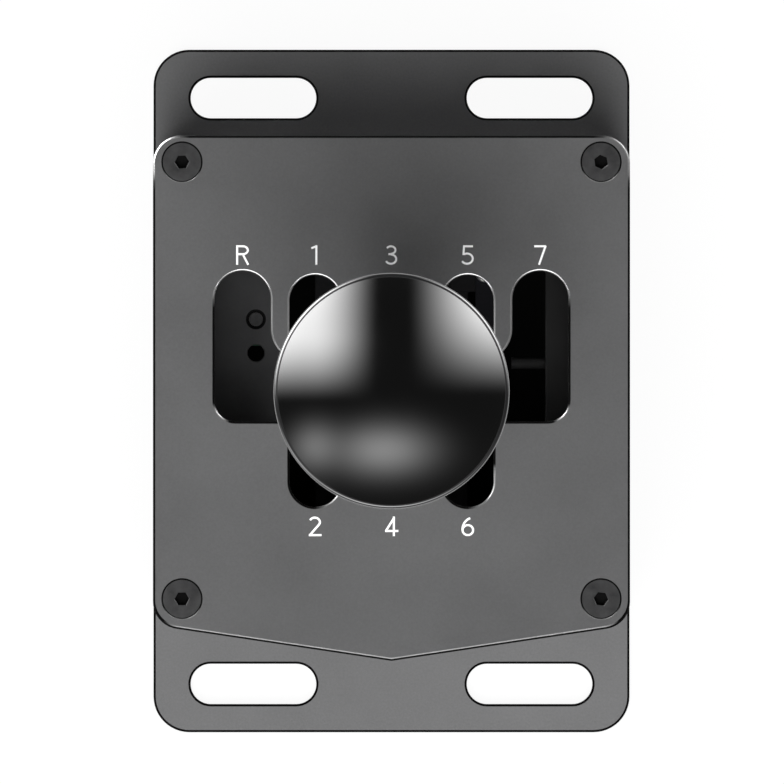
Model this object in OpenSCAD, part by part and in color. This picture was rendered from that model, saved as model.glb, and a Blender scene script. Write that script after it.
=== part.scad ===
// Sim racing gear shifter with a 7+R gate.
// Frame: origin at the centre of the base plate's underside, +Z up, +X to the right,
// +Y forward (away from the driver), all sizes in millimetres.

/* [Base plate] */
// Width of the base plate
base_w = 106; // [105.5:0.5:112]
// Length of the base plate
base_l = 152; // [149:1:160]
// Thickness of the base plate
base_t = 5; // [4.5:0.25:6]
// Corner radius of the base plate
base_r = 8; // [3:0.5:10]
// Overall length of a mounting slot
slot_l = 28; // [20:1:30]
// Width of a mounting slot
slot_w = 9; // [7:0.5:10]
// Distance between slot centres across the plate
slot_pitch_x = 61.5; // [58:0.5:66]
// Distance between slot centres along the plate
slot_pitch_y = 130.5; // [129:0.5:132]

/* [Housing] */
// How far the housing stays inside the base plate's sides
side_margin = 0.5; // [0.25:0.25:1]
// Thickness of the gate cover
cover_t = 4; // [3:0.25:4.5]
// Height of the gate cover's underside above the table
housing_h = 86; // [82:0.5:90]
// Front edge of the gate cover, forward of the shift axis
cover_front = 56.2; // [55.5:0.1:58]
// Rear corner centres of the gate cover, behind the shift axis
cover_rear = 46.4; // [46:0.1:48]
// Corner radius of the gate cover
corner_r = 6; // [5:0.25:6.5]
// Slope of the two rear edges that meet in the chevron
chevron_deg = 8.5; // [4:0.5:10]
// Thickness of the front block
front_block_t = 11; // [10.5:0.25:11.5]
// Inner face of the rear block, behind the shift axis
rear_inner = 42; // [41.5:0.1:42.4]
// Thickness of a side wall
wall_t = 4; // [3:0.25:5]
// Width of the corner cheeks that the side walls are screwed to
cheek_w = 8.5; // [8:0.25:10]
// Length of the corner cheeks
cheek_l = 9; // [8:0.5:10]

/* [Gate] */
// Sideways tilt of the lever in the 1-2 and 5-6 columns, in degrees
select_deg = 14.96; // [14.5:0.02:15.2]
// Sideways tilt of the lever in the R and 7 columns, in degrees
outer_select_deg = 27.48; // [27:0.02:27.8]
// Forward and back tilt of the lever in gear, in degrees
shift_deg = 16.5; // [15.5:0.1:16.8]
// Width of the slots of gears 1 to 6
gear_slot_w = 11.2; // [10.8:0.1:11.6]
// Width of the R and 7 slots
outer_slot_w = 12.33; // [12:0.1:12.6]
// Room left beyond the lever in gear, along a slot of gears 1 to 6
over_travel = 0.6; // [0.5:0.1:1.2]
// Further reach of the R and 7 slots
outer_extra_reach = 0.9; // [0.4:0.1:1.5]
// Half width of the neutral corridor
corridor_half = 6.7; // [6.2:0.1:7]
// Radius of the corridor's rear corners
corridor_r = 4.6; // [3:0.2:5.5]
// Radius of the shoulders between the outer columns and the corridor
shoulder_r = 7; // [5:0.5:7]
// Radius of the small corners where the corridor meets gears 2 and 6
gate_fillet_r = 2; // [1:0.25:2.5]

/* [Fasteners] */
// Distance of the cover screws from the housing's sides
cover_screw_side = 6.38; // [6.1:0.02:6.7]
// Distance of the front cover screws from the front edge
cover_screw_edge = 5.8; // [5.5:0.1:6]
// Distance of the rear cover screws from the rear corner centres, forward
cover_screw_ahead = 0.65; // [0.4:0.05:0.8]
// Thread of the cover screws
cover_screw_d = 4; // [3.5:0.5:4]
// Head of the cover screws
cover_head_d = 8.7; // [8:0.1:9]
// Length of the cover screws
cover_screw_l = 14; // [10:1:18]
// Distance of the base screws from the housing's sides
base_screw_side = 16.5; // [14.5:0.5:19]
// Thread of the base screws
base_screw_d = 5; // [4:0.5:5]
// Head of the base screws
base_head_d = 9.6; // [9:0.1:10]
// Length of the base screws
base_screw_l = 16; // [12:1:20]
// Thread of the wall screws
wall_screw_d = 3; // [2.5:0.5:3]
// Head of the wall screws
wall_head_d = 6; // [5.5:0.1:6.2]
// Height of the lower row of wall screws
wall_screw_low = 20; // [16:1:26]
// Height of the upper row of wall screws
wall_screw_high = 72; // [68:1:74]

/* [Pivots] */
// Height of the two pivot axes above the table
pivot_z = 25; // [25:0.25:26]
// Diameter of the trunnions and of the shift shaft
shaft_d = 8; // [7.5:0.25:8]
// Outer diameter of the bearings in the blocks
block_bearing_d = 16; // [15.5:0.25:17]
// Width of the bearings in the blocks
block_bearing_w = 5; // [4:0.25:5]
// Outer diameter of the bearings in the yoke
yoke_bearing_d = 14; // [13.75:0.25:14.5]
// Width of the bearings in the yoke
yoke_bearing_w = 4; // [3.5:0.25:4]
// Number of balls in each bearing
balls = 9; // [7:1:9]

/* [Yoke] */
// Inner face of the yoke's arms, from the middle
arm_in = 10; // [9.5:0.1:10]
// Width of the yoke's arms
arm_w = 7; // [6.5:0.25:7]
// Inner face of the yoke's cross bars, from the middle
bar_in = 22; // [21:0.5:22]
// Width of the yoke's cross bars
bar_w = 8; // [7:0.5:8]
// Half height of the yoke's frame
frame_half_h = 7; // [6:0.25:7.5]
// Radius of the bosses round the yoke's bearings
boss_r = 9.5; // [9:0.25:9.5]

/* [Springs] */
// Wire of the centring springs
wire_d = 1.6; // [1.2:0.1:1.6]
// Mean radius of the centring springs
coil_r = 7; // [6.5:0.25:7.25]
// Full turns of each centring spring, besides the half turn between its legs
coil_turns = 4; // [2:1:4]
// Step from one turn to the next
coil_pitch = 2.05; // [1.9:0.05:2.05]
// Thickness of the two lugs between a spring's legs
lug_t = 3; // [2:0.25:3.5]
// Radius of the detent cam
cam_r = 7; // [6:0.25:7]
// Width of the detent cam and of the leaf spring on it
cam_w = 4; // [3:0.25:4]
// Thickness of the leaf spring
leaf_t = 0.6; // [0.4:0.1:0.8]

/* [Lever] */
// Half width of the hub between the yoke's arms
hub_half_w = 8.5; // [7.5:0.25:9]
// Radius of the hub round the shift shaft
hub_r = 10.5; // [9:0.25:11]
// Diameter of the hub's column
column_d = 14; // [13:0.25:14.5]
// Top of the hub's column above the pivot
column_top = 47; // [46:0.5:49]
// Distance of the magnet's face below the pivot
nose_reach = 13; // [12.5:0.1:13.2]
// Diameter of the rod where it passes the gate
rod_d = 8.5; // [8:0.1:9]
// Diameter of the rod above the gate
rod_upper_d = 12; // [11:0.25:14]
// Start of the rod's upper part above the pivot
rod_step = 84; // [82:0.5:88]
// End of the rod's upper part above the pivot
rod_shoulder = 121; // [110:1:126]
// Thread at the rod's top
rod_thread_d = 10; // [9:0.5:10]
// Side of the square stop collar
stop_side = 15.9; // [15.5:0.1:16.1]
// Lower face of the stop collar above the pivot
stop_low = 37; // [36.5:0.25:38]
// Height of the stop collar
stop_h = 8; // [6:0.5:8.5]

/* [Knob] */
// Diameter of the knob's rim ring
rim_d = 51.3; // [48:0.1:54]
// Thickness of the rim ring
rim_t = 1.6; // [1:0.1:2.4]
// How far the dome stays inside the rim
dome_inset = 0.75; // [0.3:0.05:1.2]
// Slope of the dome where it meets the rim, in degrees
dome_edge_deg = 44; // [42:1:60]
// How far the lower shell stays inside the rim
shell_inset = 0.65; // [0.3:0.05:1.2]
// Straight length of the knob's neck
neck_l = 3.2; // [2:0.1:6]
// Radius of the knob's neck
neck_r = 10.5; // [10:0.25:12]
// Radius of the hollow between the neck and the shell
neck_fillet_r = 6; // [4:0.5:8]
// Diameter of the spigot that joins the dome to the shell
spigot_d = 30; // [24:1:34]
// Height of the spigot
spigot_h = 5.6; // [4:0.2:8]
// Diameter of the threaded insert
insert_d = 14; // [13:0.25:15]

/* [Shelf, rail and boards] */
// Top of the shelf that is seen through the R slot
shelf_top = 52; // [51:0.25:52.5]
// Width of the shelf, from the side wall to its inner edge
shelf_w = 24.5; // [23.5:0.1:24.7]
// Top of the ledge that is seen through the 7 slot
ledge_top = 64; // [62:0.25:66]
// Width of that ledge, from the side wall to its inner edge
ledge_w = 14.55; // [12.5:0.05:15.5]
// Thickness of the shelf and of the ledge
sheet_t = 2.5; // [2:0.25:3]
// Thickness of their flanges on the side walls
flange_t = 3.5; // [3:0.25:4]
// Diameter of the stop screw
stop_screw_d = 2.5; // [2:0.25:3]
// Forward place of the stop screw
stop_screw_y = 6.15; // [5:0.25:8]
// How far the stop screw stands out of the ledge
stop_out = 7.45; // [6:0.05:7.45]
// Across place of the screw end seen in the shelf, from the shelf's inner edge
shelf_screw_in = 6; // [5:0.25:7]
// Forward place of that screw end
shelf_screw_y = 15.85; // [15:0.25:18]
// Diameter of the countersink round a screw's end in the shelf
screw_ring_d = 4.45; // [3.8:0.05:5]
// Diameter of the access hole in the shelf
access_d = 3.7; // [3:0.1:5]
// Forward place of the access hole
access_y = 8.4; // [8:0.2:10]
// Thickness of the circuit boards
board_t = 1.6; // [1:0.2:1.6]
// Height of the socket's centre above the table
socket_z = 62; // [60:0.5:64]

/* [Hidden] */
$fn = 64;
eps = 0.01;
// Radial clearance of a bore that a pin is pressed or pushed into
fit = 0.02;
// Radial clearance between a screw and its threaded hole
thread_gap = 0.05;
// Straight edge of a flat screw head
head_land = 0.3;
// Room above a flat screw head in its countersink
head_room = 1.2;
// Depth of a flat head's socket as a share of its cone
flat_socket_share = 0.8;
// Height of a round head's socket floor as a share of the head
round_socket_share = 0.4;
// Hexagon sockets across the flats
cover_socket_af = 2.8;
base_socket_af = 3;
wall_socket_af = 2;
anchor_socket_af = 2;
board_socket_af = 2;
detent_socket_af = 1.5;
sensor_socket_af = 1.3;
stop_socket_af = 1.3;
// Width and height of the small screws' round heads
board_head = [5.5, 1.65];
sensor_head = [3.8, 1.2];
anchor_head = [5.4, 1.6];
detent_head = [3.8, 1.5];
// Thread lengths of the small screws in what they hold to
sensor_thread_l = 2.5;
usb_thread_l = 4;
anchor_thread_l = 6;
detent_thread_l = 5;
// Room below the tip of a screw in a blind hole
tip_room = 1;
// How far a cut runs past the face it opens
past = 1;

// Housing planes
cover_w = base_w - 2 * side_margin;
front_inner = cover_front - front_block_t;
corner_x = cover_w / 2 - corner_r;
wall_x = cover_w / 2 - wall_t;
shelf_edge = wall_x - shelf_w;
ledge_edge = wall_x - ledge_w;
stop_tip_x = ledge_edge - stop_out;
shelf_screw_x = shelf_edge + shelf_screw_in;
cheek_x = wall_x - cheek_w;
cover_top = housing_h + cover_t;
chevron_x = corner_x + corner_r * sin(chevron_deg);
chevron_y = -cover_rear - corner_r * cos(chevron_deg);
apex_y = chevron_y - chevron_x * tan(chevron_deg);
cover_screw_x = cover_w / 2 - cover_screw_side;
cover_screw_front = cover_front - cover_screw_edge;
cover_screw_rear = cover_rear - cover_screw_ahead;
base_screw_x = cover_w / 2 - base_screw_side;
base_screw_front = (front_inner + cover_front) / 2;
base_screw_rear = -(rear_inner + base_screw_d + 0.6);

// Gate columns and reaches, where the tilted lever crosses the middle of the gate cover
lever_to_gate = housing_h + cover_t / 2 - pivot_z;
column_x = lever_to_gate * tan(select_deg);
outer_column_x = lever_to_gate * tan(outer_select_deg);
gear_travel = lever_to_gate * tan(shift_deg) / cos(select_deg);
gear_reach = gear_travel + over_travel + gear_slot_w / 2;
outer_reach = gear_reach + outer_extra_reach;

// Pivots
ball_gap = 0.04;
rib_share = 0.18;
bore_shoulder = 2;
sleeve_wall = 1.25;
spacer_wall = 1.1;
web_start = 2;
seat_overlap = 4;
yoke_outer_r = 4;
yoke_inner_r = 3;
bearing_shoulder = 1.7;
arm_out = arm_in + arm_w;
bar_out = bar_in + bar_w;
spring_start = bar_out + 1.5;
spring_len = (coil_turns + 0.5) * coil_pitch;
lug_half_w = coil_r - wire_d / 2 - 0.1;
yoke_lug_r = coil_r + wire_d / 2 + 1.2;
yoke_lug_end = spring_start + spring_len + 0.3;
anchor_r = sqrt(pow(lug_half_w, 2) + pow(yoke_lug_r + lug_t, 2)) + 0.7;
anchor_start = spring_start + 0.2;
coil_deg = 360 * coil_turns + 180;
coil_steps = 16;
coil_count = ceil(coil_deg / 360 * coil_steps);
wire_sides = 8;
leg_reach = anchor_r + lug_t;
anchor_plate_t = 2.5;
anchor_plate_h = 11.5;
anchor_screw_d = 3;
anchor_screw_up = 5.2;
anchor_screw_z = pivot_z + anchor_r + lug_t + anchor_screw_up;

// Detent
cam_x = arm_out + 1.6;
detent_groove_r = 1.3;
detent_bump_r = 1.1;
detent_r = cam_r + 0.3;
leaf_z = pivot_z + cam_r + 0.6;
leaf_tail = 4;
leaf_screw_y = bar_in + bar_w / 2;
leaf_screw_d = 2.5;

// Lever heights above the table
column_top_z = pivot_z + column_top;
rod_socket_up = 15;
rod_socket_z = pivot_z + rod_socket_up;
rod_step_z = pivot_z + rod_step;
rod_cone_h = 4;
rod_shoulder_z = pivot_z + rod_shoulder;
jam_nut_h = 5;
jam_nut_af = 17;
neck_z = rod_shoulder_z + jam_nut_h;
shell_r = rim_d / 2 - shell_inset;
hollow_x = neck_r + neck_fillet_r;
hollow_reach = shell_r + neck_fillet_r;
hollow_drop = sqrt(pow(hollow_reach, 2) - pow(hollow_x, 2));
rim_z = neck_z + neck_l + hollow_drop;
dome_z = rim_z + rim_t;
dome_r = rim_d / 2 - dome_inset;
dome_ball_r = dome_r / sin(dome_edge_deg);
dome_centre = dome_ball_r * cos(dome_edge_deg);
insert_h = 21;
rod_thread_h = jam_nut_h + insert_h - 2;
magnet_d = 6;
magnet_h = 3;
nose_d = 10;
clip_t = 0.8;
clip_groove_r = shaft_d / 2 - 0.7;
clip_rim = 1.2;
clip_mouth = 0.8;
collar_corner_r = 1;
nut_chamfer_h = 1;
nut_chamfer_w = 1.5;
shaft_left = arm_out + 2.5;
shaft_right = cam_x + cam_w + 1;
rod_grub_up = 29;
rod_grub_z = pivot_z + rod_grub_up;
rod_grub_d = 4;
rod_grub_l = column_d / 2 - rod_d / 2 - 0.2;
cam_grub_d = 2.5;
cam_grub_l = cam_r - shaft_d / 2 - 0.2;

// Shelf, rail and boards
shelf_front = 34;
shelf_rear = 14;
shelf_flange_h = 22;
ledge_front = 35;
ledge_rear = 31;
ledge_flange_h = 20;
rail_screw_y = 22;
flange_screw_in = 6;
flange_screw_up = 8;
lip_t = 3;
lip_h = 11;
stop_screw_down = 4;
stop_screw_z = ledge_top - sheet_t - stop_screw_down;
stop_tail = 4;
stop_socket_h = 1.2;
stop_nut_h = 2;
board_x = [shelf_edge + 2, wall_x - flange_t - 0.5];
board_y = [10, shelf_front];
standoff_h = 5.5;
standoff_af = 5.5;
chip_size = [6, 6, 1];
chip_at = [-9, -3.5];
header_size = [7, 5, 4.2];
header_at = [-4, 7.5];
board_top = shelf_top - sheet_t - standoff_h;
second_screw_in = [7.5, 4.5];
second_screw = [wall_x - second_screw_in[0], shelf_front - second_screw_in[1]];
board_screw_d = 3;
// How far a board screw ends below the top of the shelf
screw_end_drop = 0.15;
sensor_board_size = [18, 24];
sensor_spacer_h = 2;
sensor_spacer_d = 4.5;
hall_size = [4, 4, 1];
sensor_screw_y = 9.5;
sensor_screw_d = 2;
sensor_top = base_t + sensor_spacer_h + board_t;
socket_w = 8.94;
socket_h = 3.26;
socket_wall = 0.31;
socket_slot_gap = 0.33;
socket_recess = 0.2;
socket_back_t = 1.5;
tongue_back = 1.25;
tongue_size = [6.7, 0.7];
usb_board_size = [22, 14];
usb_screw_x = 8.2;

// Shared shapes

module both_x() {
    children();
    mirror([1, 0, 0]) children();
}

module both_y() {
    children();
    mirror([0, 1, 0]) children();
}

// Turns a shape drawn along +Z so that it lies along +X
module along_x() {
    rotate([0, 90, 0]) children();
}

// Turns a shape drawn along +Z so that it lies along +Y
module along_y() {
    rotate([-90, 0, 0]) children();
}

module rounded_rect(w, l, r) {
    square([w - 2 * r, l], center = true);
    square([w, l - 2 * r], center = true);
    for (x = [-1, 1], y = [-1, 1])
        translate([x * (w / 2 - r), y * (l / 2 - r)]) circle(r);
}

module stadium(l, w) {
    square([l - w, w], center = true);
    for (x = [-1, 1]) translate([x * (l - w) / 2, 0]) circle(d = w);
}

// The concave corner that a round tool leaves: a square less the circle in its far corner
module corner_wedge(r) {
    difference() {
        square(r);
        translate([r, r]) circle(r);
    }
}

module hexagon_bar(af, h) {
    cylinder(d = af / cos(30), h = h, $fn = 6);
}

// Flat-head screw with a hexagon socket, its head's face at z = 0 and its tip pointing down
module flat_head_screw(d, head_d, l, socket_af) {
    cone_h = (head_d - d) / 2;
    difference() {
        union() {
            translate([0, 0, -l]) cylinder(d = d, h = l - cone_h / 2);
            translate([0, 0, -cone_h - head_land]) cylinder(d1 = d, d2 = head_d, h = cone_h);
            translate([0, 0, -head_land]) cylinder(d = head_d, h = head_land);
        }
        translate([0, 0, -cone_h * flat_socket_share]) hexagon_bar(socket_af, cone_h);
    }
}

// The countersunk hole that takes that screw, cut down from z = 0
module flat_head_hole(d, head_d, depth) {
    cone_h = (head_d - d) / 2;
    translate([0, 0, -depth]) cylinder(d = d + 2 * thread_gap, h = depth + 1);
    translate([0, 0, -cone_h - head_land - thread_gap])
        cylinder(d1 = d + 2 * thread_gap, d2 = head_d + 2 * thread_gap, h = cone_h);
    translate([0, 0, -head_land - thread_gap])
        cylinder(d = head_d + 2 * thread_gap, h = head_land + head_room);
}

// Screw with a low round head standing on z = 0 and its tip pointing down
module round_head_screw(d, head, l, socket_af) {
    head_h = head[1];
    difference() {
        union() {
            translate([0, 0, -l]) cylinder(d = d, h = l + head_h / 2);
            cylinder(d = head[0], h = head_h);
        }
        translate([0, 0, head_h * round_socket_share]) hexagon_bar(socket_af, head_h);
    }
}

module ring_of_balls(outer_d, w) {
    pitch_r = (shaft_d + outer_d) / 4;
    ball_r = (outer_d - shaft_d) / 6;
    for (i = [0 : balls - 1])
        rotate([0, 0, i * 360 / balls])
            translate([pitch_r, 0, w / 2]) sphere(r = ball_r, $fn = 32);
}

module race(r_in, r_out, outer_d, w) {
    pitch_r = (shaft_d + outer_d) / 4;
    groove_r = (outer_d - shaft_d) / 6 + ball_gap;
    rotate_extrude() difference() {
        translate([r_in, 0]) square([r_out - r_in, w]);
        translate([pitch_r, w / 2]) circle(groove_r);
    }
}

module inner_race(outer_d, w) {
    pitch_r = (shaft_d + outer_d) / 4;
    rib = (outer_d - shaft_d) / 2 * rib_share;
    race(shaft_d / 2 + fit, pitch_r - rib, outer_d, w);
}

module outer_race(outer_d, w) {
    pitch_r = (shaft_d + outer_d) / 4;
    rib = (outer_d - shaft_d) / 2 * rib_share;
    race(pitch_r + rib, outer_d / 2, outer_d, w);
}

// Places a shape drawn along +Z from 0 at both block bearings
module at_block_bearings() {
    translate([0, front_inner, pivot_z]) along_y() children();
    translate([0, -rear_inner, pivot_z]) mirror([0, 1, 0]) along_y() children();
}

// Places a shape drawn along +Z from 0 at both yoke bearings
module at_yoke_bearings() {
    both_x() translate([arm_out - yoke_bearing_w, 0, pivot_z]) along_x() children();
}

// Base plate, blocks and walls

module base_plate() {
    color("#55565a") difference() {
        linear_extrude(base_t) difference() {
            rounded_rect(base_w, base_l, base_r);
            for (x = [-1, 1], y = [-1, 1])
                translate([x * slot_pitch_x / 2, y * slot_pitch_y / 2]) stadium(slot_l, slot_w);
        }
        at_base_screws() mirror([0, 0, 1]) flat_head_hole(base_screw_d, base_head_d, base_t + 1);
        at_sensor_screws() translate([0, 0, base_t - sensor_thread_l - tip_room / 2])
            threaded_hole(sensor_screw_d, sensor_thread_l + tip_room);
    }
}

module at_base_screws() {
    both_x() {
        translate([base_screw_x, base_screw_front, 0]) children();
        translate([base_screw_x, base_screw_rear, 0]) children();
    }
}

module at_sensor_screws() {
    for (y = [-1, 1]) translate([0, y * sensor_screw_y, 0]) children();
}

module at_cover_screws() {
    both_x() {
        translate([cover_screw_x, cover_screw_front, 0]) children();
        translate([cover_screw_x, -cover_screw_rear, 0]) children();
    }
}

// Prism with the gate cover's outline: straight edges that run from one corner cylinder to the
// next, notched to the cylinders' centres
module cover_prism(z, h) {
    translate([0, 0, z]) linear_extrude(h) polygon([
        [-corner_x, cover_front], [corner_x, cover_front],
        [corner_x, cover_front - corner_r], [cover_w / 2, cover_front - corner_r],
        [cover_w / 2, -cover_rear], [corner_x, -cover_rear],
        [chevron_x, chevron_y], [0, apex_y], [-chevron_x, chevron_y],
        [-corner_x, -cover_rear], [-cover_w / 2, -cover_rear],
        [-cover_w / 2, cover_front - corner_r], [-corner_x, cover_front - corner_r]
    ]);
    both_x() {
        translate([corner_x, cover_front - corner_r, z]) cylinder(r = corner_r, h = h);
        translate([corner_x, -cover_rear, z]) cylinder(r = corner_r, h = h);
    }
}

// Corner post inside a side wall, grown out of the block
module cheek(inner_y, direction) {
    overlap = 1;
    translate([cheek_x, direction > 0 ? inner_y - cheek_l : inner_y - overlap, base_t])
        cube([cheek_w, cheek_l + overlap, housing_h - base_t]);
}

module threaded_hole(d, depth) {
    cylinder(d = d + 2 * thread_gap, h = depth);
}

module block_body(inner_y, direction) {
    difference() {
        union() {
            intersection() {
                cover_prism(base_t, housing_h - base_t);
                translate([-cover_w, direction > 0 ? inner_y : inner_y - cover_w, 0])
                    cube([2 * cover_w, cover_w, housing_h + 1]);
            }
            both_x() cheek(inner_y, direction);
        }
        at_block_bearings() {
            translate([0, 0, -1]) cylinder(d = block_bearing_d + 2 * fit, h = block_bearing_w + 1);
            cylinder(d = shaft_d + bore_shoulder, h = block_bearing_w + 1);
        }
        at_cover_screws() translate([0, 0, cover_top - cover_screw_l - 1])
            threaded_hole(cover_screw_d, cover_screw_l + 2);
        at_base_screws() threaded_hole(base_screw_d, base_screw_l + 1);
        at_cheek_screws() rotate([0, -90, 0]) threaded_hole(wall_screw_d, wall_t + cheek_w - 1);
        at_anchor_screws() threaded_hole(anchor_screw_d, anchor_thread_l + 2 * tip_room);
    }
}

module front_block() {
    color("#3f4043") difference() {
        block_body(front_inner, 1);
        translate([0, cover_front + 1, socket_z]) rotate([90, 0, 0])
            linear_extrude(front_block_t + 2)
                stadium(socket_w + socket_slot_gap, socket_h + socket_slot_gap);
        at_usb_screws() threaded_hole(sensor_screw_d, usb_thread_l + tip_room);
    }
}

module rear_block() {
    color("#3f4043") block_body(-rear_inner, -1);
}

// Screw places on the outer face of the right wall, axis along the wall's outward normal
module wall_screw_points(zs, ys) {
    both_x() for (y = ys, z = zs) translate([cover_w / 2, y, z]) children();
}

module at_cheek_screws() {
    wall_screw_points(
        [wall_screw_low, wall_screw_high],
        [front_inner - cheek_l / 2, -rear_inner + cheek_l / 2]
    ) children();
}

module at_shelf_flange_screws() {
    mirror([1, 0, 0]) for (y = [-shelf_rear + flange_screw_in, rail_screw_y])
        translate([cover_w / 2, y, shelf_top - shelf_flange_h + flange_screw_up]) children();
}

module at_rail_flange_screws() {
    for (y = [-rail_screw_y, rail_screw_y])
        translate([cover_w / 2, y, ledge_top - ledge_flange_h + flange_screw_up]) children();
}

module wall_panel() {
    difference() {
        translate([wall_x, -rear_inner, base_t])
            cube([wall_t, front_inner + rear_inner, housing_h - base_t]);
        at_cheek_screws() along_x() flat_head_hole(wall_screw_d, wall_head_d, wall_t + 1);
        children();
    }
}

module right_wall() {
    color("#45464a") wall_panel()
        at_rail_flange_screws() along_x() flat_head_hole(wall_screw_d, wall_head_d, wall_t + 1);
}

module left_wall() {
    color("#45464a") mirror([1, 0, 0]) wall_panel()
        mirror([1, 0, 0]) at_shelf_flange_screws()
            along_x() flat_head_hole(wall_screw_d, wall_head_d, wall_t + 1);
}

// Gate cover

// One slot of the gate, from the shift axis to its round end
module gate_slot(x, w, reach) {
    end = abs(reach) - w / 2;
    side = sign(reach);
    translate([x - w / 2, side > 0 ? 0 : -end]) square([w, end]);
    translate([x, side * end]) circle(d = w);
}

// Rounds the tip of the tongue between two gear slots
module tongue_tip(x, side) {
    tongue_w = column_x - gear_slot_w;
    translate([x, side * corridor_half]) mirror([0, side > 0 ? 0 : 1]) difference() {
        translate([-tongue_w / 2 - eps, -eps]) square([tongue_w + 2 * eps, tongue_w / 2 + eps]);
        translate([0, tongue_w / 2]) circle(d = tongue_w);
    }
}

module gate_opening() {
    outer_edge = outer_column_x + outer_slot_w / 2;
    shoulder_x = outer_column_x - outer_slot_w / 2;
    gear_edge = column_x + gear_slot_w / 2;
    for (x = [-column_x, 0, column_x], side = [-1, 1]) gate_slot(x, gear_slot_w, side * gear_reach);
    for (x = [-column_x / 2, column_x / 2], side = [-1, 1]) tongue_tip(x, side);
    translate([-outer_edge + corridor_r, -corridor_half])
        square([2 * (outer_edge - corridor_r), 2 * corridor_half]);
    translate([-outer_edge, -corridor_half + corridor_r])
        square([2 * outer_edge, 2 * corridor_half - corridor_r]);
    both_x() {
        gate_slot(outer_column_x, outer_slot_w, outer_reach);
        translate([outer_edge - corridor_r, -corridor_half + corridor_r]) circle(corridor_r);
        // Shoulder towards the outer column, cut off where the gear slot begins
        intersection() {
            translate([shoulder_x + eps, corridor_half - eps]) mirror([1, 0]) corner_wedge(shoulder_r);
            translate([gear_edge, 0]) square([shoulder_r, 2 * corridor_half + shoulder_r]);
        }
        translate([gear_edge - eps, -corridor_half + eps]) mirror([0, 1]) corner_wedge(gate_fillet_r);
    }
}

module gate_cover() {
    color("#5c5d61") difference() {
        cover_prism(housing_h, cover_t);
        translate([0, 0, housing_h - 1]) linear_extrude(cover_t + 2) gate_opening();
        at_cover_screws() translate([0, 0, cover_top])
            flat_head_hole(cover_screw_d, cover_head_d, cover_t + 1);
    }
}

// Housing fasteners

module cover_screws() {
    color("#2c2c2e") at_cover_screws() translate([0, 0, cover_top])
        flat_head_screw(cover_screw_d, cover_head_d, cover_screw_l, cover_socket_af);
}

module base_screws() {
    color("#2c2c2e") at_base_screws() mirror([0, 0, 1])
        flat_head_screw(base_screw_d, base_head_d, base_screw_l, base_socket_af);
}

module wall_screws() {
    wall_screw_l = wall_t + flange_t;
    color("#2c2c2e") {
        at_cheek_screws() along_x()
            flat_head_screw(wall_screw_d, wall_head_d, wall_screw_l, wall_socket_af);
        at_shelf_flange_screws() along_x()
            flat_head_screw(wall_screw_d, wall_head_d, wall_screw_l, wall_socket_af);
        at_rail_flange_screws() along_x()
            flat_head_screw(wall_screw_d, wall_head_d, wall_screw_l, wall_socket_af);
    }
}

// Shelf and rail on the side walls

// Angle section drawn for the right wall: a flange on the wall and a sheet towards the middle
module wall_angle(rear, front, top, edge, flange_h) {
    translate([wall_x - flange_t, rear, top - flange_h]) cube([flange_t, front - rear, flange_h]);
    translate([edge, rear, top - sheet_t]) cube([wall_x - edge, front - rear, sheet_t]);
}

module left_shelf() {
    bore = board_screw_d + 2 * thread_gap;
    ring_h = (screw_ring_d - bore) / 2;
    color("#2a2a2c") difference() {
        mirror([1, 0, 0])
            wall_angle(-shelf_rear, shelf_front, shelf_top, shelf_edge, shelf_flange_h);
        at_board_screws() {
            translate([0, 0, -2 * sheet_t]) threaded_hole(board_screw_d, 3 * sheet_t);
            translate([0, 0, -ring_h]) cylinder(d1 = bore, d2 = screw_ring_d + 2 * past, h = ring_h + past);
        }
        translate([-shelf_screw_x, access_y, shelf_top - sheet_t - 1])
            cylinder(d = access_d, h = sheet_t + 2);
        at_shelf_flange_screws() rotate([0, -90, 0])
            threaded_hole(wall_screw_d, wall_t + flange_t + 1);
    }
}

module right_rail() {
    color("#232325") difference() {
        union() {
            wall_angle(-ledge_rear, ledge_front, ledge_top, ledge_edge, ledge_flange_h);
            translate([ledge_edge, -ledge_rear, ledge_top - lip_h])
                cube([lip_t, ledge_front + ledge_rear, lip_h]);
        }
        at_rail_flange_screws() rotate([0, -90, 0])
            threaded_hole(wall_screw_d, wall_t + flange_t + 1);
        translate([ledge_edge - 1, stop_screw_y, stop_screw_z]) along_x()
            threaded_hole(stop_screw_d, lip_t + 2);
    }
}

module stop_screw() {
    tail_x = ledge_edge + lip_t + stop_tail;
    color("#3a3a3c") translate([0, stop_screw_y, stop_screw_z]) along_x() difference() {
        translate([0, 0, stop_tip_x]) cylinder(d = stop_screw_d, h = tail_x - stop_tip_x);
        translate([0, 0, tail_x - stop_socket_h]) hexagon_bar(stop_socket_af, 2 * stop_socket_h);
    }
}

module stop_nut() {
    color("#8a8a8c") translate([ledge_edge + lip_t, stop_screw_y, stop_screw_z]) along_x()
        difference() {
            hexagon_bar(2 * stop_screw_d, stop_nut_h);
            translate([0, 0, -past]) threaded_hole(stop_screw_d, stop_nut_h + 2 * past);
        }
}

// Boards

// Screw places on the shelf's top
module at_board_screws() {
    translate([-shelf_screw_x, shelf_screw_y, shelf_top]) children();
    translate([-second_screw[0], second_screw[1], shelf_top]) children();
}

module main_board() {
    color("#16361f") difference() {
        translate([-board_x[1], board_y[0], board_top - board_t])
            cube([board_x[1] - board_x[0], board_y[1] - board_y[0], board_t]);
        at_board_screws() translate([0, 0, -shelf_top]) threaded_hole(board_screw_d, shelf_top);
    }
}

module board_chips() {
    chip_z = board_top - board_t;
    color("#1a1a1a") translate([-shelf_screw_x, shelf_screw_y, chip_z]) {
        translate([chip_at[0], chip_at[1], -chip_size[2]]) cube(chip_size);
        translate([header_at[0], header_at[1], -header_size[2]]) cube(header_size);
    }
}

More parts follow.
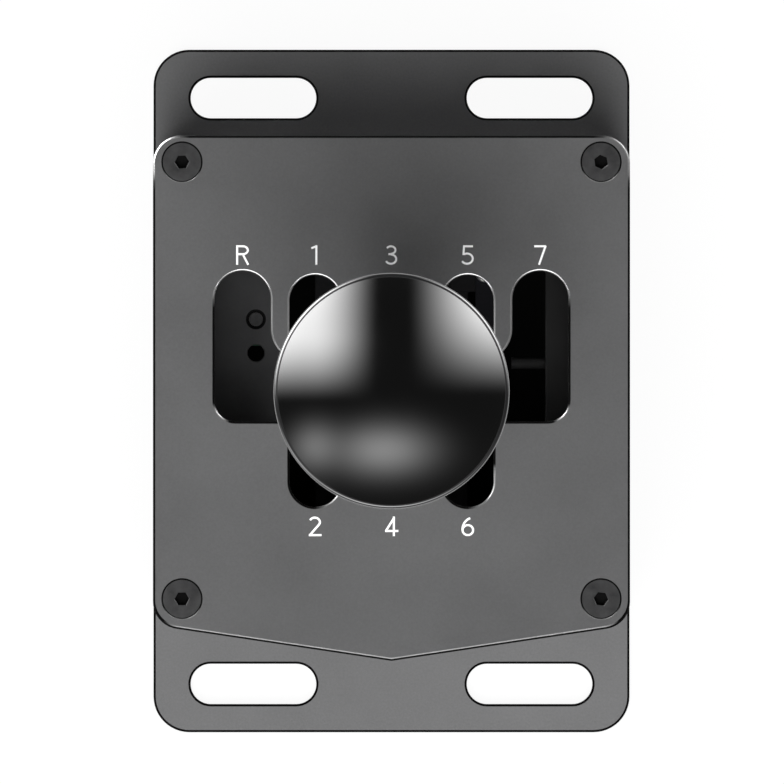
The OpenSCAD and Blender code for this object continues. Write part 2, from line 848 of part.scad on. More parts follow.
module board_standoffs() {
    color("#b08d3c") at_board_screws() translate([0, 0, -sheet_t - standoff_h]) difference() {
        hexagon_bar(standoff_af, standoff_h);
        translate([0, 0, -1]) threaded_hole(board_screw_d, standoff_h + 2);
    }
}

module board_screws() {
    stack_h = sheet_t + standoff_h + board_t;
    color("#4a4a4c") at_board_screws() translate([0, 0, -stack_h]) mirror([0, 0, 1])
        round_head_screw(board_screw_d, board_head, stack_h - screw_end_drop, board_socket_af);
}

module sensor_board() {
    color("#16361f") difference() {
        translate([0, 0, sensor_top - board_t]) linear_extrude(board_t)
            square(sensor_board_size, center = true);
        at_sensor_screws() threaded_hole(sensor_screw_d, sensor_top + 1);
    }
}

module hall_sensor() {
    color("#1a1a1a") translate([-hall_size[0] / 2, -hall_size[1] / 2, sensor_top]) cube(hall_size);
}

module sensor_spacers() {
    color("#d8d8d0") at_sensor_screws() translate([0, 0, base_t]) difference() {
        cylinder(d = sensor_spacer_d, h = sensor_spacer_h);
        translate([0, 0, -1]) threaded_hole(sensor_screw_d, sensor_spacer_h + 2);
    }
}

module sensor_screws() {
    color("#4a4a4c") at_sensor_screws() translate([0, 0, sensor_top])
        round_head_screw(
            sensor_screw_d, sensor_head, sensor_spacer_h + board_t + sensor_thread_l, sensor_socket_af
        );
}

module at_usb_screws() {
    both_x() translate([usb_screw_x, front_inner, socket_z]) along_y() children();
}

module usb_board() {
    color("#16361f") difference() {
        translate([-usb_board_size[0] / 2, front_inner - board_t, socket_z - usb_board_size[1] / 2])
            cube([usb_board_size[0], board_t, usb_board_size[1]]);
        at_usb_screws() translate([0, 0, -board_t - 1]) threaded_hole(sensor_screw_d, board_t + 2);
    }
}

module usb_socket() {
    depth = front_block_t - socket_recess;
    color("#9a9a9c") translate([0, front_inner, socket_z]) along_y() {
        difference() {
            linear_extrude(depth) stadium(socket_w, socket_h);
            translate([0, 0, socket_back_t]) linear_extrude(depth)
                stadium(socket_w - 2 * socket_wall, socket_h - 2 * socket_wall);
        }
        translate([-tongue_size[0] / 2, -tongue_size[1] / 2, socket_back_t / 2])
            cube([tongue_size[0], tongue_size[1], depth - socket_back_t / 2 - tongue_back]);
    }
}

module usb_screws() {
    color("#4a4a4c") at_usb_screws() translate([0, 0, -board_t]) mirror([0, 0, 1])
        round_head_screw(sensor_screw_d, sensor_head, board_t + usb_thread_l, sensor_socket_af);
}

// Root side of the select pivot

module trunnion_outer_races() {
    color("#b9babd") at_block_bearings() outer_race(block_bearing_d, block_bearing_w);
}

// Screw places on the inner faces of the blocks, axis into each block
module at_anchor_screws() {
    translate([0, front_inner, anchor_screw_z]) along_y() children();
    translate([0, -rear_inner, anchor_screw_z]) mirror([0, 1, 0]) along_y() children();
}

// Bracket that holds a spring's legs apart, drawn forward of the axis
module spring_anchor(inner_y) {
    lug_z = pivot_z + anchor_r;
    translate([-lug_half_w, anchor_start, lug_z])
        cube([2 * lug_half_w, inner_y - anchor_start, lug_t]);
    translate([-lug_half_w, inner_y - anchor_plate_t, lug_z])
        cube([2 * lug_half_w, anchor_plate_t, lug_t + anchor_plate_h]);
}

module spring_anchors() {
    color("#2a2a2c") difference() {
        union() {
            spring_anchor(front_inner);
            mirror([0, 1, 0]) spring_anchor(rear_inner);
        }
        at_anchor_screws() translate([0, 0, -anchor_plate_t - 1])
            threaded_hole(anchor_screw_d, anchor_plate_t + 2);
    }
}

module anchor_screws() {
    color("#4a4a4c") at_anchor_screws() translate([0, 0, -anchor_plate_t]) mirror([0, 0, 1])
        round_head_screw(anchor_screw_d, anchor_head, anchor_plate_t + anchor_thread_l, anchor_socket_af);
}

// Yoke, which tilts left and right about the Y axis

module yoke_body() {
    translate([0, 0, pivot_z - frame_half_h]) linear_extrude(2 * frame_half_h) difference() {
        rounded_rect(2 * arm_out, 2 * bar_out, yoke_outer_r);
        rounded_rect(2 * arm_in, 2 * bar_in, yoke_inner_r);
    }
    both_x() translate([arm_in, 0, pivot_z]) along_x() cylinder(r = boss_r, h = arm_w);
    both_y() spring_lug();
    detent_seat();
}

// Lug between the legs of a centring spring, on top of a cross bar
module spring_lug() {
    lug_top = pivot_z + yoke_lug_r + lug_t;
    web_y = bar_in + web_start;
    translate([-lug_half_w, web_y, pivot_z]) cube([2 * lug_half_w, bar_out - web_y, lug_top - pivot_z]);
    translate([-lug_half_w, web_y, lug_top - lug_t])
        cube([2 * lug_half_w, yoke_lug_end - web_y, lug_t]);
}

// Seat of the leaf spring at the right front corner
module detent_seat() {
    translate([arm_out - seat_overlap, bar_in, pivot_z])
        cube([cam_x + cam_w - arm_out + seat_overlap, bar_w, leaf_z - pivot_z]);
}

module yoke() {
    color("#232326") difference() {
        yoke_body();
        at_yoke_bearings() cylinder(d = yoke_bearing_d + 2 * fit, h = yoke_bearing_w + 1);
        translate([-arm_out - 1, 0, pivot_z]) along_x()
            cylinder(d = shaft_d + 2 * bearing_shoulder, h = 2 * arm_out + 2);
        both_y() translate([0, bar_in - 1, pivot_z]) along_y()
            cylinder(d = shaft_d + 2 * fit, h = bar_w + 2);
        at_detent_screw() translate([0, 0, -detent_thread_l - tip_room])
            threaded_hole(leaf_screw_d, detent_thread_l + 3 * tip_room);
    }
}

module trunnion_pins() {
    color("#c4c5c8") {
        translate([0, bar_in, pivot_z]) along_y()
            cylinder(d = shaft_d, h = front_inner + block_bearing_w - bar_in);
        mirror([0, 1, 0]) translate([0, bar_in, pivot_z]) along_y()
            cylinder(d = shaft_d, h = rear_inner + block_bearing_w - bar_in);
    }
}

module trunnion_sleeve(inner_y) {
    translate([0, bar_out, pivot_z]) along_y() difference() {
        cylinder(d = shaft_d + 2 * sleeve_wall, h = inner_y - bar_out);
        translate([0, 0, -1]) cylinder(d = shaft_d + 2 * fit, h = inner_y - bar_out + 2);
    }
}

module trunnion_sleeves() {
    color("#a9894a") {
        trunnion_sleeve(front_inner);
        mirror([0, 1, 0]) trunnion_sleeve(rear_inner);
    }
}

module trunnion_inner_races() {
    color("#b9babd") at_block_bearings() inner_race(block_bearing_d, block_bearing_w);
}

module trunnion_balls() {
    color("#d5d6d8") at_block_bearings() ring_of_balls(block_bearing_d, block_bearing_w);
}

module shaft_outer_races() {
    color("#b9babd") at_yoke_bearings() outer_race(yoke_bearing_d, yoke_bearing_w);
}

// Centring spring: a leg up at the right, the coil, and a leg up at the left

// Centre line of the wire, with y counted from the start of the coil
function coil_point(i) =
    let (a = -coil_deg * i / coil_count)
    [coil_r * cos(a), spring_len * i / coil_count, coil_r * sin(a)];
function coil_path() = concat(
    [[coil_r, 0, leg_reach]],
    [for (i = [0 : coil_count]) coil_point(i)],
    [[-coil_r, spring_len, leg_reach]]
);

// Least room between two runs of a spring's wire, measured on points along its centre line
spot_step = 0.5;
function spots(a, b) =
    let (n = ceil(norm(b - a) / spot_step)) [for (k = [0 : n - 1]) a + (b - a) * k / n];
function path_spots(path) = [for (i = [0 : len(path) - 2]) each spots(path[i], path[i + 1])];
function least_gap(at, apart) =
    min([for (i = [0 : len(at) - apart - 1]) for (j = [i + apart : len(at) - 1])
        norm(at[i] - at[j])]) - wire_d;
echo(spring_gap_mm = least_gap(path_spots(coil_path()), ceil(PI * coil_r / spot_step)));

// Ring of points square to the path at point i
function unit(v) = v / norm(v);
function wire_ring(path, i) =
    let (
        last = len(path) - 1,
        ahead = unit(path[min(i + 1, last)] - path[max(i - 1, 0)]),
        side = unit(cross(ahead, [0, 1, 0])),
        up = cross(side, ahead)
    )
    [for (k = [0 : wire_sides - 1])
        let (a = 360 * k / wire_sides)
        path[i] + wire_d / 2 * (cos(a) * side + sin(a) * up)];

module wire_tube(path) {
    rings = len(path);
    n = wire_sides;
    polyhedron(
        points = [for (i = [0 : rings - 1]) each wire_ring(path, i)],
        faces = concat(
            [[for (k = [n - 1 : -1 : 0]) k]],
            [for (i = [0 : rings - 2], k = [0 : n - 1])
                each [
                    [i * n + k, i * n + (k + 1) % n, (i + 1) * n + (k + 1) % n],
                    [i * n + k, (i + 1) * n + (k + 1) % n, (i + 1) * n + k]
                ]],
            [[for (k = [0 : n - 1]) (rings - 1) * n + k]]
        )
    );
}

module front_centring_spring() {
    color("#8f9196") translate([0, spring_start, pivot_z]) wire_tube(coil_path());
}

module rear_centring_spring() {
    color("#8f9196") rotate([0, 0, 180]) translate([0, spring_start, pivot_z]) wire_tube(coil_path());
}

// Shift detent on the yoke

module at_detent_screw() {
    translate([cam_x + cam_w / 2, leaf_screw_y, leaf_z]) children();
}

module detent_spring() {
    color("#9a9ca0") difference() {
        union() {
            translate([cam_x, -leaf_tail, leaf_z]) cube([cam_w, bar_out + leaf_tail, leaf_t]);
            translate([cam_x, 0, pivot_z + detent_r]) along_x() cylinder(r = detent_bump_r, h = cam_w);
        }
        at_detent_screw() translate([0, 0, -1]) threaded_hole(leaf_screw_d, leaf_t + 2);
    }
}

module detent_screw() {
    color("#4a4a4c") at_detent_screw() translate([0, 0, leaf_t])
        round_head_screw(leaf_screw_d, detent_head, leaf_t + detent_thread_l, detent_socket_af);
}

// Lever, which tilts forward and back about the X axis

module lever_hub() {
    color("#232326") difference() {
        union() {
            translate([-hub_half_w, 0, pivot_z]) along_x() cylinder(r = hub_r, h = 2 * hub_half_w);
            translate([0, 0, pivot_z]) cylinder(d = column_d, h = column_top);
            translate([0, 0, pivot_z - nose_reach]) cylinder(d = nose_d, h = nose_reach);
        }
        translate([-hub_half_w - 1, 0, pivot_z]) along_x()
            cylinder(d = shaft_d + 2 * fit, h = 2 * hub_half_w + 2);
        translate([0, 0, rod_socket_z]) cylinder(d = rod_d + 2 * fit, h = column_top_z);
        translate([0, 0, pivot_z - nose_reach - 1])
            cylinder(d = magnet_d + 2 * fit, h = magnet_h + 1);
        at_rod_grub() threaded_hole(rod_grub_d, column_d);
    }
}

module at_rod_grub() {
    translate([0, rod_d / 2, rod_grub_z]) along_y() children();
}

module at_cam_grub() {
    translate([cam_x + cam_w / 2, 0, pivot_z - shaft_d / 2]) mirror([0, 0, 1]) children();
}

module grub_screw(d, l) {
    difference() {
        cylinder(d = d, h = l);
        translate([0, 0, l - 1]) hexagon_bar(d / 2, 2);
    }
}

module grub_screws() {
    color("#2c2c2e") {
        at_rod_grub() translate([0, 0, thread_gap]) grub_screw(rod_grub_d, rod_grub_l);
        at_cam_grub() translate([0, 0, thread_gap]) grub_screw(cam_grub_d, cam_grub_l);
    }
}

module shift_shaft() {
    color("#c4c5c8") difference() {
        translate([-shaft_left, 0, pivot_z]) along_x() cylinder(d = shaft_d, h = shaft_left + shaft_right);
        both_x() translate([arm_out, 0, pivot_z]) along_x() difference() {
            cylinder(r = shaft_d / 2 + past, h = clip_t);
            translate([0, 0, -past]) cylinder(r = clip_groove_r, h = clip_t + 2 * past);
        }
    }
}

module hub_spacers() {
    spacer_l = arm_out - yoke_bearing_w - hub_half_w;
    color("#a9894a") both_x() translate([hub_half_w, 0, pivot_z]) along_x() difference() {
        cylinder(d = shaft_d + 2 * spacer_wall, h = spacer_l);
        translate([0, 0, -1]) cylinder(d = shaft_d + 2 * fit, h = spacer_l + 2);
    }
}

module shaft_inner_races() {
    color("#b9babd") at_yoke_bearings() inner_race(yoke_bearing_d, yoke_bearing_w);
}

module shaft_balls() {
    color("#d5d6d8") at_yoke_bearings() ring_of_balls(yoke_bearing_d, yoke_bearing_w);
}

module shaft_clips() {
    color("#4a4a4c") both_x() translate([arm_out, 0, pivot_z]) along_x() difference() {
        cylinder(r = shaft_d / 2 + clip_rim, h = clip_t);
        translate([0, 0, -1]) cylinder(r = clip_groove_r + fit, h = clip_t + 2);
        translate([0, -clip_groove_r * clip_mouth, -past])
            cube([shaft_d, 2 * clip_groove_r * clip_mouth, clip_t + 2 * past]);
    }
}

module detent_cam() {
    color("#8a8c91") difference() {
        translate([cam_x, 0, pivot_z]) along_x() cylinder(r = cam_r, h = cam_w);
        translate([cam_x - 1, 0, pivot_z]) along_x() cylinder(d = shaft_d + 2 * fit, h = cam_w + 2);
        for (a = [-shift_deg, 0, shift_deg])
            translate([cam_x - 1, 0, pivot_z]) rotate([a, 0, 0]) translate([0, 0, detent_r])
                along_x() cylinder(r = detent_groove_r, h = cam_w + 2);
        at_cam_grub() threaded_hole(cam_grub_d, cam_r);
    }
}

module sensor_magnet() {
    color("#c9cacd") translate([0, 0, pivot_z - nose_reach]) cylinder(d = magnet_d, h = magnet_h);
}

module stop_collar() {
    color("#1c1c1e") translate([0, 0, pivot_z + stop_low]) linear_extrude(stop_h) difference() {
        rounded_rect(stop_side, stop_side, collar_corner_r);
        circle(d = column_d + 2 * fit);
    }
}

module lever_rod() {
    color("#8d8f94") {
        translate([0, 0, rod_socket_z]) cylinder(d = rod_d, h = rod_step_z - rod_socket_z);
        translate([0, 0, rod_step_z]) cylinder(d1 = rod_d, d2 = rod_upper_d, h = rod_cone_h);
        translate([0, 0, rod_step_z + rod_cone_h])
            cylinder(d = rod_upper_d, h = rod_shoulder_z - rod_step_z - rod_cone_h);
        translate([0, 0, rod_shoulder_z]) cylinder(d = rod_thread_d, h = rod_thread_h);
    }
}

module jam_nut() {
    corner_d = jam_nut_af + 2 * nut_chamfer_w;
    color("#3a3a3c") translate([0, 0, rod_shoulder_z]) difference() {
        intersection() {
            hexagon_bar(jam_nut_af, jam_nut_h);
            // Turned chamfer on the hexagon's corners
            union() {
                cylinder(d1 = jam_nut_af, d2 = corner_d, h = nut_chamfer_h);
                translate([0, 0, nut_chamfer_h])
                    cylinder(d = corner_d, h = jam_nut_h - 2 * nut_chamfer_h);
                translate([0, 0, jam_nut_h - nut_chamfer_h])
                    cylinder(d1 = corner_d, d2 = jam_nut_af, h = nut_chamfer_h);
            }
        }
        translate([0, 0, -1]) threaded_hole(rod_thread_d, jam_nut_h + 2);
    }
}

// Knob

module knob_insert() {
    color("#b08d3c") translate([0, 0, neck_z]) difference() {
        cylinder(d = insert_d, h = insert_h);
        translate([0, 0, -1]) threaded_hole(rod_thread_d, insert_h + 2);
    }
}

// Half section of the lower shell: a neck, a hollow that touches it, and a round shell
module knob_section() {
    hollow_y = rim_z - hollow_drop;
    touch = [hollow_x * shell_r / hollow_reach, rim_z - hollow_drop * shell_r / hollow_reach];
    translate([0, neck_z]) square([neck_r, hollow_y - neck_z + eps]);
    difference() {
        polygon([[0, hollow_y], [hollow_x, hollow_y], touch, [0, touch[1]]]);
        translate([hollow_x, hollow_y]) circle(neck_fillet_r);
    }
    intersection() {
        translate([0, rim_z]) circle(shell_r);
        translate([0, touch[1] - eps]) square([shell_r, rim_z - touch[1] + eps]);
    }
    translate([0, rim_z - eps]) square([spigot_d / 2, spigot_h + eps]);
}

module knob_base() {
    color("#141416") difference() {
        rotate_extrude() knob_section();
        translate([0, 0, neck_z - 1]) cylinder(d = insert_d + 2 * fit, h = insert_h + 1.5);
    }
}

module knob_ring() {
    color("#26262a") translate([0, 0, rim_z]) rotate_extrude() difference() {
        union() {
            translate([spigot_d / 2 + fit, 0]) square([(rim_d - spigot_d) / 2 - fit - rim_t / 2, rim_t]);
            translate([(rim_d - rim_t) / 2, rim_t / 2]) circle(d = rim_t);
        }
    }
}

module knob_cap() {
    color("#101012") difference() {
        translate([0, 0, dome_z - dome_centre]) rotate_extrude() intersection() {
            circle(dome_ball_r);
            translate([0, dome_centre]) square([dome_r + 1, dome_ball_r]);
        }
        translate([0, 0, dome_z - 1]) cylinder(d = spigot_d + 2 * fit, h = spigot_h - rim_t + 1.2);
    }
}

base_plate();
front_block();
rear_block();
left_wall();
right_wall();
gate_cover();
cover_screws();
base_screws();
wall_screws();
left_shelf();
right_rail();
stop_screw();
stop_nut();
main_board();
board_chips();
board_standoffs();
board_screws();
sensor_board();
hall_sensor();
sensor_spacers();
sensor_screws();
usb_board();
usb_socket();
usb_screws();
spring_anchors();
anchor_screws();
trunnion_outer_races();
yoke();
trunnion_pins();
trunnion_sleeves();
trunnion_inner_races();
trunnion_balls();
shaft_outer_races();
front_centring_spring();
rear_centring_spring();
detent_spring();
detent_screw();
lever_hub();
shift_shaft();
hub_spacers();
shaft_inner_races();
shaft_balls();
shaft_clips();
detent_cam();
sensor_magnet();
stop_collar();
grub_screws();
lever_rod();
jam_nut();
knob_insert();
knob_base();
knob_ring();
knob_cap();
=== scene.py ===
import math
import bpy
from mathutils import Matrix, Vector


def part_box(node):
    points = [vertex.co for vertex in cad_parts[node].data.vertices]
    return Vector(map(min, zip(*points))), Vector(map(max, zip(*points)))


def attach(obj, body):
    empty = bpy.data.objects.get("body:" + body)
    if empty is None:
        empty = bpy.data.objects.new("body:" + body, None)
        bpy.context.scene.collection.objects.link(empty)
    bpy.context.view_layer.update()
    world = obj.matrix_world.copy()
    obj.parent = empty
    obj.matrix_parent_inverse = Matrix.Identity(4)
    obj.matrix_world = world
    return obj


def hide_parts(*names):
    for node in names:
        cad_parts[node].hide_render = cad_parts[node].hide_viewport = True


bl_info = {
    "name": "Sim racing gear shifter",
    "version": (1, 0, 0),
    "blender": (4, 5, 0),
    "location": "3D View > Sidebar > Shifter",
    "description": "Dresses the packed gear shifter: anodised plates, gate numbers, screws and knob",
    "category": "Object",
}

import bmesh
import bpy
from mathutils import Vector, geometry

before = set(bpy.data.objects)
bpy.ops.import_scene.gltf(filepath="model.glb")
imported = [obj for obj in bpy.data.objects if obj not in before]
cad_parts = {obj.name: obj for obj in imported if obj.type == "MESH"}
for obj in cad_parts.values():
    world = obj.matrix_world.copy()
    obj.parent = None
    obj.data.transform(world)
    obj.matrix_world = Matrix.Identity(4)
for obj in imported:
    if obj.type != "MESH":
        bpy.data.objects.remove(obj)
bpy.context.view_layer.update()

MM = 0.001

# Corners nearer than WELD are one, and faces that turn less than FLAT_TURN are one flat face
WELD = 2e-6
FLAT_TURN = math.radians(0.2)
# Least turn of a sharp edge, and the most that a plain and a rounded surface smooth over
SHARP_TURN = math.radians(40.0)
PLAIN_TURN = math.radians(32.0)
ROUNDED_TURN = math.radians(50.0)
# Most of a narrow strip that the rounding of one of its edges takes
ROUNDED_PART = 0.45
# Fewest corners of a face that is filled anew, and how near two of them may be
LARGE_FACE = 9
FILL_ROOM = 1e-8

# Heights and edges that the CAD parts give
COVER_LOW, COVER_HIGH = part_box("gate_cover")
RIM_LOW, RIM_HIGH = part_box("knob_ring")
CAP_LOW, CAP_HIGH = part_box("knob_cap")
SHELL_LOW, SHELL_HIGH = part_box("knob_base")


# Sizes, colours and light that a user would change


def length(name, description, millimetres):
    return bpy.props.FloatProperty(
        name=name,
        description=description,
        default=millimetres * MM,
        min=0.0,
        precision=5,
        subtype="DISTANCE",
        unit="LENGTH",
    )


def colour(name, description, *parts):
    return bpy.props.FloatVectorProperty(
        name=name, description=description, default=parts, min=0.0, max=1.0, size=3, subtype="COLOR"
    )


def amount(name, description, value, highest=10.0):
    return bpy.props.FloatProperty(
        name=name, description=description, default=value, min=0.0, max=highest, subtype="FACTOR"
    )


def tilt(name, description, degrees):
    return bpy.props.FloatProperty(
        name=name,
        description=description,
        default=math.radians(degrees),
        subtype="ANGLE",
        unit="ROTATION",
    )


class ShifterSizes(bpy.types.PropertyGroup):
    plate_edge: length("Plate edge", "Rounding of the base plate's edges", 0.5)
    cover_edge: length("Cover edge", "Rounding of the cover's outline and its slots", 0.5)
    chevron_edge: length("Chevron edge", "Rounding of the cover's edge towards the driver", 0.7)
    chevron_reach: length("Chevron reach", "How far the cover's lower edge runs from its point", 9.0)
    gate_edge: length("Small edge", "Rounding of the edges of brackets, yoke and hub", 0.3)
    fine_edge: length("Fine edge", "Rounding of the edges of nuts, races and boards", 0.12)
    rod_edge: length("Rod edge", "Rounding at the steps of the lever's rod", 0.4)
    number_height: length("Number height", "Height of the gear numbers", 4.3)
    number_width: length("Number width", "Width of the widest gear number", 2.8)
    number_stroke: length("Number stroke", "Width of a stroke of a gear number", 0.45)
    ink_height: length("Ink height", "How far the ink stands on the cover", 0.02)
    top_number_line: length("Upper number line", "Foot of the upper numbers, ahead of the axis", 27.78)
    bottom_number_line: length("Lower number line", "Head of the lower numbers, behind the axis", 27.65)
    column_step: length("Gear column", "Distance of the 1-2 and 5-6 columns from the middle", 16.8)
    outer_column: length("Outer column", "Distance of the R and 7 columns from the middle", 32.8)
    shoulder_across: length("Shoulder across", "Where a gear slot meets an outer slot's shoulder", 22.43)
    shoulder_ahead: length("Shoulder ahead", "The same place, ahead of the shift axis", 7.28)
    # Where the painted highlights on the cover's edges begin
    worn_head: length("Worn head", "Where the slots' heads begin to be worn bare", 19.8)
    worn_foot: length("Worn foot", "Where the outer slots' lower corners begin to be worn", 3.0)
    worn_corner: length("Worn corner", "Where the cover's upper corners begin to be worn", 46.0)
    head_round: length("Screw head rounding", "Rounding of the rim of a flat screw head", 0.15)
    wire: length("Spring wire", "Diameter of the centring springs' wire", 1.6)
    coil_radius: length("Coil radius", "Mean radius of the centring springs", 7.0)
    coil_pitch: length("Coil pitch", "Step from one turn to the next", 2.05)
    neck_radius: length("Knob neck", "Radius of the knob's neck", 10.5)
    hollow_radius: length("Knob hollow", "Radius of the hollow between neck and shell", 6.0)
    spigot_radius: length("Knob spigot", "Radius of the spigot that joins dome and shell", 15.0)
    insert_radius: length("Knob insert", "Radius of the bore for the threaded insert", 7.02)
    coil_turns: bpy.props.FloatProperty(
        name="Coil turns", description="Turns of each centring spring", default=4.5, min=0.5
    )
    smooth_steps: bpy.props.IntProperty(
        name="Steps round", description="Steps round a turned piece", default=192, min=24, max=512
    )


class ShifterColours(bpy.types.PropertyGroup):
    cover: colour("Cover", "Anodised gate cover", 0.093, 0.093, 0.0942)
    # Lighter than the cover partly as painted light, for the brighter light on the plate's lower flange,
    # and partly the plate's own tone
    plate: colour("Base plate", "Anodised base plate", 0.137, 0.137, 0.1385)
    housing: colour("Housing", "Anodised blocks and walls", 0.095, 0.095, 0.097)
    # Bare metal of the painted highlights at the cover's edges
    edge: colour("Edge", "Metal that shows through at the cover's edges", 0.5, 0.5, 0.5)
    screw: colour("Screw", "Black oxide on the screws", 0.030, 0.030, 0.0305)
    ink: colour("Ink", "Ink of the gear numbers", 0.95, 0.95, 0.95)
    knob: colour("Knob", "Gloss black of the knob's dome", 0.0004, 0.0004, 0.0004)
    shell: colour("Shell", "Satin black of the knob's lower shell", 0.006, 0.006, 0.0065)
    sheet: colour("Sheet", "Black powder coat of the brackets", 0.022, 0.022, 0.0225)
    steel: colour("Steel", "Turned steel", 0.50, 0.50, 0.51)
    zinc: colour("Zinc", "Zinc plating", 0.46, 0.46, 0.45)
    brass: colour("Brass", "Turned brass", 0.58, 0.43, 0.19)
    machined: colour("Machined", "Black anodised machined parts", 0.010, 0.010, 0.0105)
    board: colour("Board", "Solder mask of the boards", 0.006, 0.022, 0.011)


class ShifterStage(bpy.types.PropertyGroup):
    floor_size: length("Floor size", "Side of the floor", 6000.0)
    lens: length("Lens", "Focal length of the camera", 1500.0)
    sensor: length("Sensor", "Width of the camera's sensor", 36.0)
    picture_width: length("Picture width", "Width that the picture shows at the base plate", 174.6)
    centre_right: length("Centre right", "How far right of the middle the picture is centred", 0.111)
    centre_back: length("Centre back", "How far behind the middle the picture is centred", 0.223)
    key_distance: length("Key distance", "Distance of the overhead lamp", 2000.0)
    key_width: length("Key width", "Width of the overhead lamp", 1250.0)
    key_back: tilt("Key back", "Tilt of the overhead lamp towards the driver", 19.0)
    key_left: tilt("Key left", "Tilt of the overhead lamp to the left", 3.0)
    key_watts: bpy.props.FloatProperty(
        name="Key power", description="Power of the overhead lamp", default=64.0, min=0.0, unit="POWER"
    )
    fill: amount("Fill", "Level of the even light from all round", 0.128)
    room: amount("Room", "Level of the room that gloss shows between the lamps", 0.13)
    floor_shadow: amount("Floor shadow", "How much of the shadow the white floor shows", 0.06, 1.0)


# Meshes


def new_object(name, data):
    piece = bpy.data.objects.new(name, data)
    bpy.context.scene.collection.objects.link(piece)
    return piece


def shade(mesh):
    for face in mesh.polygons:
        face.use_smooth = True
    mesh.set_sharp_from_angle(angle=PLAIN_TURN)


def bake(piece):
    """Turns what the modifiers make into the piece's own plain mesh."""
    graph = bpy.context.evaluated_depsgraph_get()
    graph.update()
    done = bpy.data.meshes.new_from_object(piece.evaluated_get(graph), depsgraph=graph)
    done.name = piece.name
    if piece.type == "MESH":
        piece.modifiers.clear()
        piece.data = done
        return piece
    name = piece.name
    bpy.data.objects.remove(piece)
    return new_object(name, done)


def welded(node):
    """A CAD node's mesh with its loose triangles merged, to work on."""
    work = bmesh.new()
    work.from_mesh(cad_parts[node].data)
    bmesh.ops.remove_doubles(work, verts=work.verts, dist=WELD)
    return work


def merged_mesh(node):
    """A CAD node's mesh with its flat faces joined."""
    mesh = bpy.data.meshes.new(node + "_merged")
    work = welded(node)
    bmesh.ops.dissolve_limit(work, angle_limit=FLAT_TURN, verts=work.verts, edges=work.edges)
    work.to_mesh(mesh)
    work.free()
    return mesh


def solids(node):
    """Lowest and highest corner of each separate solid of a CAD node."""
    work = welded(node)
    seen = set()
    boxes = []
    for first in work.verts:
        if first in seen:
            continue
        group = [first]
        seen.add(first)
        for vert in group:
            for edge in vert.link_edges:
                other = edge.other_vert(vert)
                if other not in seen:
                    seen.add(other)
                    group.append(other)
        low = Vector([min(vert.co[axis] for vert in group) for axis in range(3)])
        high = Vector([max(vert.co[axis] for vert in group) for axis in range(3)])
        boxes.append((low, high))
    work.free()
    return boxes


def finish(piece, body, slot, *nodes):
    """Says what the piece rides on and hides the CAD nodes that it stands for; slot is not used."""
    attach(piece, body)
    if nodes:
        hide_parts(*nodes)
    return piece


def weigh_edges(mesh, width, share, longest):
    """Marks each sharp edge with how much of the full rounding it gets, long ones in parts."""
    work = bmesh.new()
    work.from_mesh(mesh)
    layer = work.edges.layers.float.new("bevel_weight_edge")
    if longest:
        for edge in [edge for edge in work.edges if is_sharp(edge)]:
            start = edge.verts[0]
            for left in range(int(edge.calc_length() / longest), 0, -1):
                start = bmesh.utils.edge_split(edge, start, 1 / (left + 1))[1]
    for edge in [edge for edge in work.edges if is_sharp(edge)]:
        edge[layer] = min(share(middle_of(edge)), ROUNDED_PART * room_beside(edge) / width)
    work.to_mesh(mesh)
    work.free()


def middle_of(edge):
    return (edge.verts[0].co + edge.verts[1].co) / 2


def room_beside(edge):
    """Width of the narrowest strip between the edge and a sharp one across it."""
    room = math.inf
    for face in edge.link_faces:
        for other in face.edges if len(face.verts) == 4 else []:
            if not set(other.verts) & set(edge.verts) and is_sharp(other):
                room = min(room, (middle_of(other) - middle_of(edge)).length)
    return room


def is_sharp(edge):
    return len(edge.link_faces) == 2 and edge.calc_face_angle() > SHARP_TURN


def refill(mesh):
    """Fills each large flat face anew with triangles, so that none of them folds over."""
    work = bmesh.new()
    work.from_mesh(mesh)
    planes = {}
    for face in work.faces:
        if len(face.verts) >= LARGE_FACE:
            height = round(face.normal.dot(face.verts[0].co), 5)
            way = tuple(round(part, 2) for part in face.normal)
            planes.setdefault((way, height, face.material_index), []).append(face)
    for faces in planes.values():
        fill_plane(work, faces)
    loose = [edge for edge in work.edges if not edge.link_faces]
    bmesh.ops.delete(work, geom=loose, context="EDGES")
    work.to_mesh(mesh)
    work.free()


def fill_plane(work, faces):
    """Replaces faces that lie in one plane by triangles between their outlines."""
    normal = faces[0].normal.copy()
    index = faces[0].material_index
    right = normal.orthogonal().normalized()
    up = normal.cross(right)
    group = set(faces)
    edges = {edge for face in faces for edge in face.edges}
    outline = [edge for edge in edges if sum(face in group for face in edge.link_faces) == 1]
    corners = list({vert for edge in outline for vert in edge.verts})
    number = {vert: place for place, vert in enumerate(corners)}
    flat = [Vector((vert.co.dot(right), vert.co.dot(up))) for vert in corners]
    sides = [(number[edge.verts[0]], number[edge.verts[1]]) for edge in outline]
    places, _, triangles, sources, _, _ = geometry.delaunay_2d_cdt(flat, sides, [], 1, FILL_ROOM)
    if len(places) != len(flat):
        return
    bmesh.ops.delete(work, geom=faces, context="FACES_ONLY")
    lines = [(flat[first], flat[second]) for first, second in sides]
    for triangle in triangles:
        if encloses(lines, sum((places[place] for place in triangle), Vector((0, 0))) / 3):
            face = work.faces.new([corners[sources[place][0]] for place in triangle])
            face.material_index = index
            face.normal_update()
            if face.normal.dot(normal) < 0:
                face.normal_flip()


def encloses(lines, place):
    """Whether the closed outlines go round a place, counting how often a ray from it meets them."""
    inside = False
    for first, second in lines:
        if (first.y > place.y) != (second.y > place.y):
            share = (place.y - first.y) / (second.y - first.y)
            if place.x < first.x + share * (second.x - first.x):
                inside = not inside
    return inside


